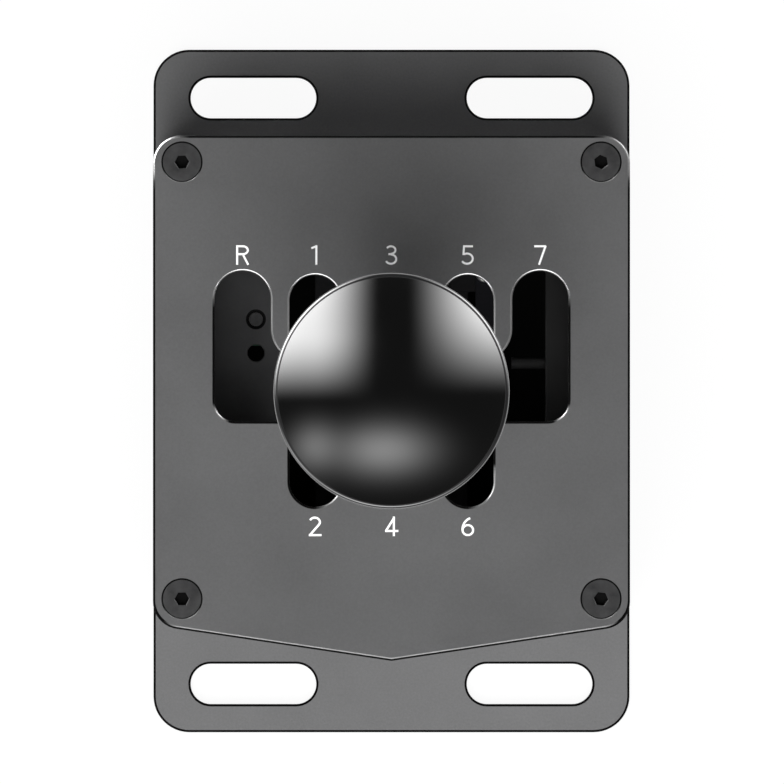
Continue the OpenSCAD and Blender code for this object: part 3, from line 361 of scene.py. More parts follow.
def level_normals(mesh):
    """Keeps flat faces flat and turns the normals over their rounded edges only.

    The second material's faces are the rounded ones."""
    limits = (math.cos(PLAIN_TURN), math.cos(ROUNDED_TURN))
    plain = [{} for _ in mesh.vertices]
    curved = [{} for _ in mesh.vertices]
    for face in mesh.polygons:
        face.use_smooth = True
        table = curved if face.material_index == 1 else plain
        for vertex in face.vertices:
            table[vertex][tuple(round(part, 2) for part in face.normal)] = face.normal.copy()
    normals = []
    for face in mesh.polygons:
        limit = limits[face.material_index == 1]
        for vertex in face.vertices:
            near = []
            for table in (plain, curved):
                near = near or [way for way in table[vertex].values() if way.dot(face.normal) > limit]
            normals.append(sum(near, Vector()).normalized() if near else face.normal.copy())
    mesh.normals_split_custom_set(normals)


def dress(node, body, slot, edge, steps=3, coats=None, share=None, longest=None):
    """A copy of a CAD node with rounded edges, which stands for it.

    coats names the finish of its faces and then that of its rounded edges, where they aren't
    the slot's. share says how much of the rounding an edge gets from the place of its middle,
    and longest how long a part of an edge may be for that."""
    piece = new_object(node + "_piece", merged_mesh(node))
    materials = [finish_of(name) for name in (coats or slot).split()]
    for material in (materials[0], materials[-1]):
        piece.data.materials.append(material)
    weigh_edges(piece.data, edge, share or (lambda place: 1.0), longest)
    rounding = piece.modifiers.new("Rounded edges", "BEVEL")
    rounding.width = edge
    rounding.segments = steps
    rounding.limit_method = "WEIGHT"
    rounding.use_clamp_overlap = False
    rounding.loop_slide = False
    rounding.miter_outer = "MITER_ARC"
    rounding.material = 1
    bake(piece)
    refill(piece.data)
    level_normals(piece.data)
    return finish(piece, body, slot, node)


def turned(name, profile, steps, *materials):
    """Turns a profile of (radius, height) about Z into a closed mesh.

    A third value in the profile is the number of flats that are that radius away."""
    work = bmesh.new()
    rings = []
    for radius, height, *flats in profile:
        if radius == 0:
            rings.append([work.verts.new((0, 0, height))])
            continue
        ring = []
        for step in range(steps):
            turn = 2 * math.pi * step / steps
            reach = radius
            if flats:
                part = 2 * math.pi / flats[0]
                reach = radius / math.cos((turn + part / 2) % part - part / 2)
            ring.append(work.verts.new((reach * math.cos(turn), reach * math.sin(turn), height)))
        rings.append(ring)
    pairs = list(zip(rings, rings[1:]))
    if len(rings[0]) > 1:
        pairs.append((rings[-1], rings[0]))
    for lower, upper in pairs:
        for step in range(steps):
            after = (step + 1) % steps
            corners = [lower[step % len(lower)], lower[after % len(lower)]]
            corners += [upper[after % len(upper)], upper[step % len(upper)]]
            work.faces.new(list(dict.fromkeys(corners)))
    bmesh.ops.recalc_face_normals(work, faces=work.faces)
    mesh = bpy.data.meshes.new(name)
    work.to_mesh(mesh)
    work.free()
    shade(mesh)
    for material in materials:
        mesh.materials.append(material)
    return new_object(name, mesh)


def mark(piece, test):
    """Marks the faces whose middle passes the test for painted shade, for the placing tree."""
    attribute = piece.data.attributes.new("socket", "BOOLEAN", "FACE")
    for face, value in zip(piece.data.polygons, attribute.data):
        value.value = test(face.center)


def wear(piece, level):
    """Stores how much of each place of the piece shows bare metal as a painted highlight, from 0 to 1.
    """
    attribute = piece.data.attributes.new("worn", "FLOAT", "POINT")
    for vertex, value in zip(piece.data.vertices, attribute.data):
        value.value = level(vertex.co)


def paint(piece, material, test):
    """Gives the faces whose middle passes the test a further material."""
    piece.data.materials.append(material)
    for face in piece.data.polygons:
        if test(face.center):
            face.material_index = len(piece.data.materials) - 1


def arc(centre, radius, start, end, steps=14):
    """Points of an arc, with its angles in degrees from the first axis. radius may be a pair."""
    wide, tall = radius if isinstance(radius, tuple) else (radius, radius)
    turns = [math.radians(start + (end - start) * step / steps) for step in range(steps + 1)]
    return [(centre[0] + wide * math.cos(turn), centre[1] + tall * math.sin(turn)) for turn in turns]


def ramp(value, start, run):
    """How far a value is from start to start + run, kept between 0 and 1."""
    return min(1.0, max(0.0, (value - start) / run))


def path_curve(name, lines):
    """A curve object of poly splines through the given points."""
    curve = bpy.data.curves.new(name, "CURVE")
    curve.dimensions = "3D"
    curve.twist_mode = "Z_UP"
    for points in lines:
        spline = curve.splines.new("POLY")
        spline.points.add(len(points) - 1)
        for place, point in zip(spline.points, points):
            place.co = (*point, 1.0)
    return new_object(name, curve)


# Node trees


def feed(tree, socket, value):
    """Links a socket to another one, or gives it a value."""
    if isinstance(value, bpy.types.NodeSocket):
        tree.links.new(value, socket)
    else:
        socket.default_value = value


def add(tree, kind, inputs=None, **settings):
    """A new node with its settings, and values or links for its inputs."""
    node = tree.nodes.new(kind)
    for name, value in settings.items():
        setattr(node, name, value)
    for label, value in (inputs or {}).items():
        feed(tree, node.inputs[label], value)
    return node


def of_type(sockets, kind):
    return [socket for socket in sockets if socket.type == kind]


def new_tree(name, inputs, outputs=()):
    """A node tree with the sockets that it is given and those that it gives.

    An input has its default value, or the kind of its socket where it has none. A tree without
    named outputs is one for geometry, and is given the geometry and its material besides."""
    if outputs:
        tree = bpy.data.node_groups.new(name, "ShaderNodeTree")
        outputs = dict.fromkeys(outputs, "NodeSocketFloat")
    else:
        tree = bpy.data.node_groups.new(name, "GeometryNodeTree")
        inputs = {"Geometry": "Geometry", **inputs, "Material": "Material"}
        outputs = {"Geometry": "NodeSocketGeometry"}
    kinds = {float: "Float", int: "Int", tuple: "Vector"}
    for label, value in inputs.items():
        kind = value if isinstance(value, str) else kinds[type(value)]
        socket = tree.interface.new_socket(label, in_out="INPUT", socket_type="NodeSocket" + kind)
        if kind != value:
            socket.default_value = value
    for label, kind in outputs.items():
        tree.interface.new_socket(label, in_out="OUTPUT", socket_type=kind)
    return tree, tree.nodes.new("NodeGroupInput").outputs, tree.nodes.new("NodeGroupOutput").inputs


def tree_of(maker):
    """The node tree that a function makes under its own name, made when it is first needed."""
    name = maker.__name__.replace("_", " ").capitalize()
    if name not in bpy.data.node_groups:
        maker(name)
    return bpy.data.node_groups[name]


# Geometry Nodes


def finish_tree(tree, given, end, made, marked=False):
    """Realizes the instances and sets the material, which every tree ends with."""
    real = add(tree, "GeometryNodeRealizeInstances", {0: made})
    inputs = {"Geometry": real.outputs[0], "Material": given["Material"]}
    coat = add(tree, "GeometryNodeSetMaterial", inputs)
    # Faces marked socket get the black painted shade material
    if marked:
        faces = add(tree, "GeometryNodeInputNamedAttribute", {"Name": "socket"}, data_type="BOOLEAN")
        inputs = {"Geometry": coat.outputs[0], "Material": given["Marked material"]}
        inputs["Selection"] = faces.outputs["Attribute"]
        coat = add(tree, "GeometryNodeSetMaterial", inputs)
    feed(tree, end["Geometry"], coat.outputs[0])


def pieces_on_points(name):
    """Puts a piece on every point, along the point's axis and turned about it by chance."""
    inputs = {"Piece": "Object", "Spin": 0.0, "Seed": 1, "Marked material": "Material"}
    tree, given, end = new_tree(name, inputs)
    points = add(tree, "GeometryNodeMeshToPoints", {"Mesh": given["Geometry"]})
    model = add(tree, "GeometryNodeObjectInfo", {"Object": given["Piece"]})
    turn = add(tree, "GeometryNodeInputNamedAttribute", {"Name": "turn"}, data_type="FLOAT_VECTOR")
    axis = add(tree, "FunctionNodeEulerToRotation", {0: turn.outputs["Attribute"]})
    chance = add(tree, "FunctionNodeRandomValue", {"Seed": given["Seed"]}, data_type="FLOAT")
    low, high = of_type(chance.inputs, "VALUE")[:2]
    feed(tree, low, 0.0)
    feed(tree, high, given["Spin"])
    inputs = {"Axis": (0.0, 0.0, 1.0), "Angle": of_type(chance.outputs, "VALUE")[0]}
    spin = add(tree, "FunctionNodeAxisAngleToRotation", inputs)
    inputs = {0: axis.outputs[0], 1: spin.outputs[0]}
    both = add(tree, "FunctionNodeRotateRotation", inputs, rotation_space="LOCAL")
    inputs = {"Points": points.outputs[0], "Instance": model.outputs["Geometry"]}
    inputs["Rotation"] = both.outputs[0]
    place = add(tree, "GeometryNodeInstanceOnPoints", inputs)
    finish_tree(tree, given, end, place.outputs[0], marked=True)


def sweep(tree, path, section):
    """Runs a section along a path and closes its ends."""
    inputs = {"Curve": path, "Profile Curve": section.outputs[0], "Fill Caps": True}
    return add(tree, "GeometryNodeCurveToMesh", inputs).outputs[0]


def wire_along_a_path(name):
    """Makes a round wire along a path."""
    tree, given, end = new_tree(name, {"Thickness": 1.6 * MM, "Sides": 16})
    inputs = {"Radius": maths(tree, "DIVIDE", given["Thickness"], 2.0), "Resolution": given["Sides"]}
    circle = add(tree, "GeometryNodeCurvePrimitiveCircle", inputs)
    finish_tree(tree, given, end, sweep(tree, given["Geometry"], circle))


def ink_strokes(name):
    """Makes flat strokes of ink along paths and joins those that cross."""
    tree, given, end = new_tree(name, {"Stroke": 0.45 * MM, "Thickness": 0.02 * MM})
    inputs = {"Width": given["Stroke"], "Height": given["Thickness"]}
    section = add(tree, "GeometryNodeCurvePrimitiveQuadrilateral", inputs)
    join = add(tree, "GeometryNodeMeshBoolean", operation="UNION", solver="EXACT")
    meshes = next(socket for socket in join.inputs if socket.is_multi_input)
    feed(tree, meshes, sweep(tree, given["Geometry"], section))
    feed(tree, join.inputs["Self Intersection"], True)
    finish_tree(tree, given, end, join.outputs[0])


def run_tree(piece, maker, values):
    """Runs a tree on a piece with the given inputs and keeps its plain mesh."""
    tree = tree_of(maker)
    modifier = piece.modifiers.new(tree.name, "NODES")
    modifier.node_group = tree
    for item in tree.interface.items_tree:
        if item.item_type == "SOCKET" and item.in_out == "INPUT" and item.name in values:
            modifier[item.identifier] = values[item.name]
    piece = bake(piece)
    shade(piece.data)
    return piece


def place_pieces(node, body, slot, model, places, turns, spin=0.0, seed=1):
    """Puts a model on each place, with the turn that brings +Z onto its axis, for a CAD node."""
    mesh = bpy.data.meshes.new(node + "_piece")
    mesh.from_pydata([tuple(place) for place in places], [], [])
    attribute = mesh.attributes.new("turn", "FLOAT_VECTOR", "POINT")
    for value, turn in zip(attribute.data, turns):
        value.vector = turn
    values = {"Piece": model, "Spin": spin, "Seed": seed, "Material": finish_of(slot)}
    # Painted shade for the screws' sockets and rims
    values["Marked material"] = finish_of("socket_shade")
    piece = run_tree(new_object(node + "_piece", mesh), pieces_on_points, values)
    bpy.data.objects.remove(model)
    return finish(piece, body, slot, node)


# Shader node groups


def maths(tree, operation, *values):
    """A Math node whose inputs are sockets or numbers."""
    return add(tree, "ShaderNodeMath", dict(enumerate(values)), operation=operation).outputs[0]


def vector_maths(tree, operation, *values):
    return add(tree, "ShaderNodeVectorMath", dict(enumerate(values)), operation=operation).outputs[0]


def noise(tree, vector, scale, detail=2.0, roughness=0.5):
    inputs = {"Vector": vector, "Scale": scale, "Detail": detail, "Roughness": roughness}
    return add(tree, "ShaderNodeTexNoise", inputs).outputs["Fac"]


def spread(tree, value, low, high, to_low=0.0, to_high=1.0, curve="LINEAR"):
    """A Map Range node."""
    inputs = {"Value": value, "From Min": low, "From Max": high, "To Min": to_low, "To Max": to_high}
    return add(tree, "ShaderNodeMapRange", inputs, interpolation_type=curve).outputs["Result"]


def object_place(tree):
    return add(tree, "ShaderNodeTexCoord").outputs["Object"]


def group_node(tree, maker, **values):
    """Places a shader node group and gives its outputs."""
    node = add(tree, "ShaderNodeGroup", node_tree=tree_of(maker))
    for label, value in values.items():
        node.inputs[label.replace("_", " ").capitalize()].default_value = value
    return node.outputs


def blasted_grain(name):
    """Grain of bead-blasted metal, with a slow mottle over it."""
    inputs = {"Grain per metre": 6500.0, "Mottle per metre": 38.0}
    group, given, end = new_tree(name, inputs, ["Height", "Shade", "Mottle"])
    place = object_place(group)
    grain = noise(group, place, given[0], 2.0, 0.6)
    mottle = noise(group, place, given[1], 4.0, 0.55)
    coarse = noise(group, place, maths(group, "MULTIPLY", given[0], 0.31), 1.0)
    both = maths(group, "MULTIPLY_ADD", coarse, 0.45, maths(group, "MULTIPLY", grain, 0.55))
    feed(group, end["Height"], both)
    feed(group, end["Shade"], spread(group, both, 0.3, 0.7))
    feed(group, end["Mottle"], spread(group, mottle, 0.3, 0.7))


def fine_lines(name):
    """Fine lines that run along one axis, as rolling or brushing leaves them."""
    inputs = {"Squeeze": (6000.0, 60.0, 6000.0), "Detail": 2.0}
    group, given, end = new_tree(name, inputs, ["Height", "Shade"])
    squeezed = vector_maths(group, "MULTIPLY", object_place(group), given["Squeeze"])
    lines = noise(group, squeezed, 1.0, given["Detail"])
    feed(group, end["Height"], lines)
    feed(group, end["Shade"], spread(group, lines, 0.3, 0.7))


def inside_the_housing(name):
    """Where shade is painted: the room inside the housing, as a mask from 0 to 1, a little wider than
    its walls.
    """
    inputs = {"Half width": 0.048, "Near": -0.05, "Far": 0.05, "Floor": 0.0005, "Ceiling": 0.086}
    group, given, end = new_tree(name, inputs, ["Mask"])
    parts = add(group, "ShaderNodeSeparateXYZ", {0: object_place(group)}).outputs
    mask = maths(group, "LESS_THAN", maths(group, "ABSOLUTE", parts["X"]), given["Half width"])
    for part, test, limit in (
        ("Y", "GREATER_THAN", "Near"),
        ("Y", "LESS_THAN", "Far"),
        ("Z", "GREATER_THAN", "Floor"),
        ("Z", "LESS_THAN", "Ceiling"),
    ):
        mask = maths(group, "MULTIPLY", mask, maths(group, test, parts[part], given[limit]))
    feed(group, end[0], mask)


def handling(name):
    """Faint smears and dust that handling leaves, as masks from 0 to 1."""
    inputs = {"Smears per metre": 55.0, "Dust per metre": 2400.0}
    group, given, end = new_tree(name, inputs, ["Smears", "Dust"])
    place = object_place(group)
    bent = vector_maths(group, "MULTIPLY", place, (1.0, 0.55, 0.8))
    smears = noise(group, bent, given[0], 5.0, 0.6)
    dust = noise(group, place, given[1], 1.0)
    feed(group, end["Smears"], spread(group, smears, 0.45, 0.75, curve="SMOOTHSTEP"))
    feed(group, end["Dust"], spread(group, dust, 0.68, 0.8, curve="SMOOTHSTEP"))


def soft_patch(name):
    """A lamp seen in gloss: a patch with soft edges on the disc of directions."""
    inputs = {"Across": 0.0, "Up": 0.0, "Across start": 0.1, "Across end": 0.7}
    inputs.update({"Up start": 0.0, "Up end": 0.45, "Level": 10.0})
    group, given, end = new_tree(name, inputs, ["Light"])
    light = given["Level"]
    for way in ("Across", "Up"):
        limits = given[way + " start"], given[way + " end"]
        part = spread(group, given[way], *limits, curve="SMOOTHSTEP")
        light = maths(group, "MULTIPLY", light, part)
    feed(group, end[0], light)


def round_patch(name):
    """A lamp seen in gloss: a round patch that fades away from its middle."""
    inputs = {"Across": 0.0, "Up": 0.0, "Middle across": 0.0, "Middle up": 0.0}
    inputs.update({"Width": 0.25, "Height": 0.15, "Level": 1.0})
    group, given, end = new_tree(name, inputs, ["Light"])
    across = maths(group, "SUBTRACT", given["Across"], given["Middle across"])
    across = maths(group, "DIVIDE", across, given["Width"])
    up = maths(group, "SUBTRACT", given["Up"], given["Middle up"])
    up = maths(group, "DIVIDE", up, given["Height"])
    far = maths(group, "MULTIPLY_ADD", across, across, maths(group, "MULTIPLY", up, up))
    fade = maths(group, "EXPONENT", maths(group, "MULTIPLY", far, -0.5))
    feed(group, end[0], maths(group, "MULTIPLY", fade, given["Level"]))


# Materials


def set_shader(tree, values):
    """Gives inputs of the tree's Principled shader a value, or links them to a socket."""
    for label, value in values.items():
        feed(tree, tree.nodes["Principled BSDF"].inputs[label], value)


def new_material(name, base, metallic, roughness, specular=0.5):
    """A material with a Principled shader, and its tree."""
    material = bpy.data.materials.new(name)
    material.use_nodes = True
    material.diffuse_color = (*base, 1.0)
    values = {"Base Color": (*base, 1.0), "Metallic": metallic, "Roughness": roughness}
    set_shader(material.node_tree, {**values, "Specular IOR Level": specular})
    return material, material.node_tree


def blend(tree, factor, first, second):
    """A colour that runs from the first to the second. Each is a socket or a colour."""
    mix = add(tree, "ShaderNodeMix", {"Factor": factor}, data_type="RGBA")
    for socket, value in zip(of_type(mix.inputs, "RGBA"), (first, second)):
        feed(tree, socket, value if isinstance(value, bpy.types.NodeSocket) else (*value, 1.0))
    return of_type(mix.outputs, "RGBA")[0]


def tinted(tree, base, mask, dark, light):
    """A base colour that runs from a darker to a lighter shade of itself with a mask."""
    return blend(tree, mask, [part * dark for part in base], [min(1.0, part * light) for part in base])


def bump(tree, height, depth, strength=0.6):
    """Relief of a depth in millimetres."""
    node = add(tree, "ShaderNodeBump", {"Strength": strength, "Distance": depth * MM, "Height": height})
    set_shader(tree, {"Normal": node.outputs[0]})


def textured(name, base, maker, masks, shades, rough, metallic=0.0, specular=0.5, **values):
    """A material whose colour and roughness follow two outputs of a node group.

    masks names the two outputs, shades are the darkest and the lightest share of the colour,
    and rough is the plain roughness, and how much less and more it gets."""
    plain, less, more = rough
    material, tree = new_material(name, base, metallic, plain, specular)
    given = group_node(tree, maker, **values)
    coarse = spread(tree, given[masks[1]], 0.0, 1.0, plain - less, plain + more)
    set_shader(tree, {"Base Color": tinted(tree, base, given[masks[0]], *shades), "Roughness": coarse})
    return material, tree, given


def blasted_metal(name, base, metallic=0.2, roughness=0.42, specular=0.1):
    """Anodised, bead-blasted aluminium, with painted shade: black inside the housing, where shadow
    falls.
    """
    material, tree = new_material(name, base, metallic, roughness, specular)
    grain = group_node(tree, blasted_grain)
    mottle = maths(tree, "MULTIPLY", grain["Mottle"], 0.4)
    mask = maths(tree, "MULTIPLY_ADD", grain["Shade"], 0.6, mottle)
    low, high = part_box("right_wall")
    past = 0.1 * MM
    walls = {"half_width": low.x + past, "near": low.y - past, "far": high.y + past}
    # Painted shade: the faces inside the housing are blended to black
    inside = group_node(tree, inside_the_housing, ceiling=high.z - past, **walls)
    coat = tinted(tree, base, mask, 0.86, 1.14)
    coarse = spread(tree, grain["Mottle"], 0.0, 1.0, roughness - 0.04, roughness + 0.06)
    set_shader(tree, {"Base Color": blend(tree, inside[0], coat, PAINTED_SHADE_BLACK), "Roughness": coarse})
    bump(tree, grain["Height"], 0.012, 0.7)
    return material


def edge_metal(name, base, roughness=0.22):
    """A cut edge with painted light: black painted shade, and bare metal as a painted highlight where
    its highlit attribute says so.
    """
    material, tree = new_material(name, base, 0.0, roughness, 0.02)
    grain = group_node(tree, blasted_grain, grain_per_metre=9000.0)
    # Where the highlit attribute is 0, the edge is black painted shade
    worn = add(tree, "ShaderNodeAttribute", attribute_name="worn").outputs["Fac"]
    bare = tinted(tree, base, grain["Shade"], 0.8, 1.15)
    set_shader(tree, {
        "Base Color": blend(tree, worn, EDGE_SHADE_BLACK, bare),
        "Metallic": maths(tree, "MULTIPLY", worn, 0.9),
        "Roughness": spread(tree, worn, 0.0, 0.3, 0.6, roughness),
    })
    bump(tree, grain["Height"], 0.004, 0.5)
    return material


def lined_metal(name, base, metallic, roughness, squeeze, depth=0.004):
    """Metal with fine lines that run one way, as on turned, rolled or brushed parts."""
    values = {"rough": (roughness, 0.06, 0.08), "metallic": metallic, "specular": 0.1}
    masks = ("Shade", "Shade")
    material, tree, lines = textured(
        name, base, fine_lines, masks, (0.82, 1.12), squeeze=squeeze, **values
    )
    bump(tree, lines["Height"], depth)
    return material


def grained(name, base, rough, relief, grain, mottle, **values):
    """A coat, plastic or rubber with a fine grain, whose colour follows its mottle.

    relief is its depth in millimetres and its strength."""
    options = {"masks": ("Mottle", "Mottle"), "shades": (0.85, 1.2), "rough": rough, **values}
    options.update(grain_per_metre=grain, mottle_per_metre=mottle)
    material, tree, group = textured(name, base, blasted_grain, **options)
    bump(tree, group["Height"], *relief)
    return material


def black_oxide(name, base):
    """Black oxide on steel, a little uneven."""
    values = {"shades": (0.75, 1.35), "metallic": 0.2, "specular": 0.2}
    return grained(name, base, (0.42, 0.1, 0.04), (0.004, 0.5), 11000.0, 420.0, **values)


def powder_coat(name, base):
    """Matte powder coat with its fine orange peel."""
    masks = ("Mottle", "Shade")
    return grained(name, base, (0.55, 0.05, 0.07), (0.03, 0.6), 2600.0, 90.0, masks=masks)


def moulded(name, base, roughness, grain=1800.0, depth=0.01, specular=0.5):
    """Moulded plastic or rubber with a fine texture."""
    rough = (roughness, 0.05, 0.08)
    return grained(name, base, rough, (depth, 0.6), grain, 140.0, specular=specular)


def gloss_black(name, base, coat=0.0):
    """Polished black lacquer with faint smears and a little dust."""
    rough = (0.12, 0.02, 0.04)
    material, tree, _ = textured(name, base, handling, ("Dust", "Smears"), (1.0, 3.0), rough)
    set_shader(tree, {"Coat Weight": coat, "Coat IOR": 1.6})
    return material


def satin_black(name, base):
    """Satin black of the knob's shell."""
    rough = (0.3, 0.03, 0.06)
    material, tree, _ = textured(name, base, handling, ("Smears", "Smears"), (0.9, 1.5), rough)
    bump(tree, group_node(tree, blasted_grain, grain_per_metre=3800.0)["Height"], 0.006, 0.5)
    return material


def solder_mask(name, base):
    """A circuit board's solder mask, with its tracks raised under it."""
    material, tree = new_material(name, base, 0.0, 0.3)
    inputs = {"Scale": 420.0, "Mortar Size": 0.035, "Brick Width": 1.7, "Vector": object_place(tree)}
    tracks = add(tree, "ShaderNodeTexBrick", inputs).outputs["Fac"]
    set_shader(tree, {"Base Color": tinted(tree, base, tracks, 1.0, 1.9)})
    bump(tree, tracks, 0.02)
    return material


def number_ink(name, base):
    """White screen-printed ink."""
    material, tree = new_material(name, base, 0.0, 0.5)
    grain = group_node(tree, blasted_grain, grain_per_metre=9000.0)
    set_shader(tree, {"Base Color": tinted(tree, base, grain["Shade"], 0.95, 1.04)})
    bump(tree, grain["Height"], 0.003, 0.4)
    return material


# How fast fine lines change along X, Y and Z, on parts that are turned about Z, X and Y
TURNED = (40.0, 40.0, 9000.0)
ACROSS = (9000.0, 40.0, 40.0)
ALONG = (40.0, 9000.0, 40.0)

# Painted shade: the black of a cut edge where its rounding lies in shadow, and the black inside the
# housing, in sockets and in countersinks
EDGE_SHADE_BLACK = (0.002, 0.002, 0.002)
PAINTED_SHADE_BLACK = (0.004, 0.004, 0.004)

# Maker of each finish, its colour or the property that holds it, and the maker's other values
FINISHES = {
    # The three blasted finishes take painted shade inside the housing
    "plate_grey": (blasted_metal, "plate", 0.05, 0.5, 0.03),
    "block_grey": (blasted_metal, "housing"),
    "cover_grey": (blasted_metal, "cover"),
    "cut_edge": (edge_metal, "edge"),
    "black_oxide": (black_oxide, "screw"),
    "black_sheet": (powder_coat, "sheet"),
    "rail_black": (moulded, (0.008, 0.008, 0.008), 0.6, 2600.0, 0.02, 0.2),
    "rim_black": (gloss_black, "shell", 1.0),
    # Black painted shade in sockets, on screw rims and in countersinks
    "socket_shade": (moulded, PAINTED_SHADE_BLACK, 0.8, 1800.0, 0.01, 0.03),
    "turned_steel": (lined_metal, "steel", 1.0, 0.26, TURNED),
    "turned_across": (lined_metal, "steel", 1.0, 0.26, ACROSS),
    "turned_along": (lined_metal, "steel", 1.0, 0.26, ALONG),
    "bearing_steel": (lined_metal, (0.62, 0.62, 0.64), 1.0, 0.14, TURNED, 0.001),
    "spring_steel": (lined_metal, (0.36, 0.36, 0.38), 1.0, 0.3, TURNED),
    "blued_steel": (lined_metal, (0.012, 0.012, 0.014), 0.4, 0.4, ALONG),
    "yoke_black": (lined_metal, "machined", 0.3, 0.45, ALONG, 0.006),
    "brass": (lined_metal, "brass", 1.0, 0.28, TURNED),
    "zinc": (lined_metal, "zinc", 0.95, 0.34, ACROSS),
    "circuit_board": (solder_mask, "board"),
    "chip_black": (moulded, (0.018, 0.018, 0.019), 0.55),
    "bump_black": (moulded, (0.015, 0.015, 0.016), 0.75, 900.0, 0.03),
    "nylon": (moulded, (0.68, 0.68, 0.64), 0.45),
    "knob_black": (gloss_black, "knob"),
    "shell_black": (satin_black, "shell"),
    "number_ink": (number_ink, "ink"),
}


def finish_of(name):
    """The named finish, made the first time it is asked for."""
    title = name + "_finish"
    maker, base, *values = FINISHES[name]
    if isinstance(base, str):
        base = getattr(bpy.context.scene.shifter_colours, base)
    return bpy.data.materials.get(title) or maker(title, base, *values)


# Gear numbers, drawn on a box one unit high with their strokes' middle lines


def number_strokes(label, half, wide):
    """Middle lines of a number's strokes. half is half a stroke, wide the number's half width."""
    head = 1.0 - half
    side = wide - half
    middle = 0.745
    bowl = arc((0.02, middle), (side - 0.02, head - middle), 90.0, -90.0)
    return {
        "R": [
            [(-side, 0.0), (-side, 1.0)],
            [(-side, head), *bowl, (-side, 2 * middle - head)],
            [(0.04, 0.49), (side + 0.02, 0.0)],
        ],
        "1": [[(0.06, 0.0), (0.06, 1.0)], [(0.06 - half, head - 0.02), (-0.2, head - 0.1)]],
        "2": [
            [*arc((-0.02, 0.72), (side - 0.01, head - 0.72), 155.0, -28.0), (-side, half)],
            [(-wide, half), (wide, half)],
        ],
        "3": [
            arc((-0.03, 0.755), (side - 0.04, head - 0.755), 150.0, -90.0),
            arc((-0.03, 0.29), (side, 0.29 - half), 90.0, -155.0),
            [(-0.16, 0.545), (0.0, 0.545)],
        ],
        "4": [
            [(0.12, 0.0), (0.12, 1.0)],
            [(0.12, head - 0.03), (-side, 0.29)],
            [(-wide, 0.265), (wide + 0.02, 0.265)],
        ],
        "5": [
            [(-0.19, head), (0.26, head)],
            [(-0.19, 1.0), (-0.225, 0.5)],
            arc((-0.04, 0.315), (side + 0.02, 0.315 - half), 118.0, -150.0),
        ],
        "6": [
            arc((0.0, 0.31), (side, 0.31 - half), 0.0, 360.0),
            arc((side + 0.02, 0.34), (2 * side + 0.02, head - 0.34), 182.0, 108.0),
        ],
        "7": [[(-wide, head), (side, head)], [(side - 0.01, 1.0 - half / 2), (-0.08, 0.0)]],
    }[label]


# Models that the placing tree repeats

SCREW_STEPS = 48
BALL_STEPS = 28
BALL_RINGS = 16
HEXAGON = 6


def flat_head_model(name, shank, head, long, socket, rounding):
    """A flat-head socket screw that points down, its face at height 0."""
    cone = (head - shank) / 2
    land = 0.3 * MM
    lead = 0.12 * MM
    tip = 0.35 * MM
    depth = cone * 0.8
    profile = [(0, -long), (shank / 2 - tip, -long), (shank / 2, -long + tip)]
    profile += [(shank / 2, -land - cone), (head / 2, -max(land, rounding + 0.02 * MM))]
    profile += arc((head / 2 - rounding, -rounding), rounding, 0.0, 90.0, 5)
    profile += [(socket / 2 + lead, 0, HEXAGON), (socket / 2, -lead, HEXAGON)]
    profile += [(socket / 2, -depth, HEXAGON), (0, -depth - socket * 0.2)]
    model = turned(name, profile, SCREW_STEPS)
    rim = head / 2 - rounding * 1.1

    def shaded(place):
        """Painted shade: the socket's walls, and the head's rim, which lies in the countersink's shade.
        """
        inside = place.z < -lead * 0.9 and place.xy.length < socket * 0.6
        return inside or place.xy.length > rim

    mark(model, shaded)
    return model


def round_head_model(name, shank, head, height, long, socket, slope):
    """A round-head socket screw that points down and stands on height 0."""
    lead = 0.08 * MM
    depth = height * 0.6
    profile = [(0, -long), (shank / 2, -long), (shank / 2, 0), (head / 2, 0)]
    profile += [(head / 2, height - slope), (head / 2 - slope * 0.25, height - slope * 0.45)]
    profile += [(head / 2 - slope, height)]
    profile += [(socket / 2 + lead, height, HEXAGON), (socket / 2, height - lead, HEXAGON)]
    profile += [(socket / 2, height - depth, HEXAGON), (0, height - depth - socket * 0.15)]
    model = turned(name, profile, SCREW_STEPS)
    # Painted shade on the socket's walls
    mark(model, lambda place: 0 < place.z < height - lead * 0.9 and place.xy.length < socket * 0.6)
    return model


# The turn that brings +Z onto an axis, by the axis and the way along it
TURNS = {
    (0, 1): (0.0, math.pi / 2, 0.0),
    (0, -1): (0.0, -math.pi / 2, 0.0),
    (1, 1): (-math.pi / 2, 0.0, 0.0),
    (1, -1): (math.pi / 2, 0.0, 0.0),
    (2, 1): (0.0, 0.0, 0.0),
    (2, -1): (math.pi, 0.0, 0.0),
}
# Ways that heads face along the axis, on the positive side of the middle and on the other one
FORWARD, BACKWARD, OUTWARD, INWARD = (1, 1), (-1, -1), (1, -1), (-1, 1)


def place_screws(node, body, slot, axis, ways, seat, seed, model):
    """Puts a screw on each solid of a CAD node.

    seat is the height of the head over what it stands on, and model makes the screw from its
    name, its whole length and the width of its head."""
    places = []
    turns = []
    for low, high in solids(node):
        place = (low + high) / 2
        way = ways[0] if place[axis] > 0 else ways[1]
        place[axis] = (high if way > 0 else low)[axis] - way * seat
        places.append(place)
        turns.append(TURNS[axis, way])
    across = 0 if axis else 1
    screw = model(node + "_model", high[axis] - low[axis], high[across] - low[across])
    place_pieces(node, body, slot, screw, places, turns, math.pi, len(places) + seed)


# Operators


class PieceOperator(bpy.types.Operator):
    bl_options = {"REGISTER", "UNDO"}

    @property
    def sizes(self):
        return bpy.context.scene.shifter_sizes


class SHIFTER_OT_base_plate(PieceOperator):
    """Base plate with its four mounting slots, blasted and anodised"""

    bl_idname = "shifter.base_plate"
    bl_label = "Base plate"

    def execute(self, context):
        edge = self.sizes.plate_edge
        # The plate's rounded edges are all black painted shade
        dress("base_plate", "housing", "plate_grey", edge, coats="plate_grey cut_edge")
        return {"FINISHED"}


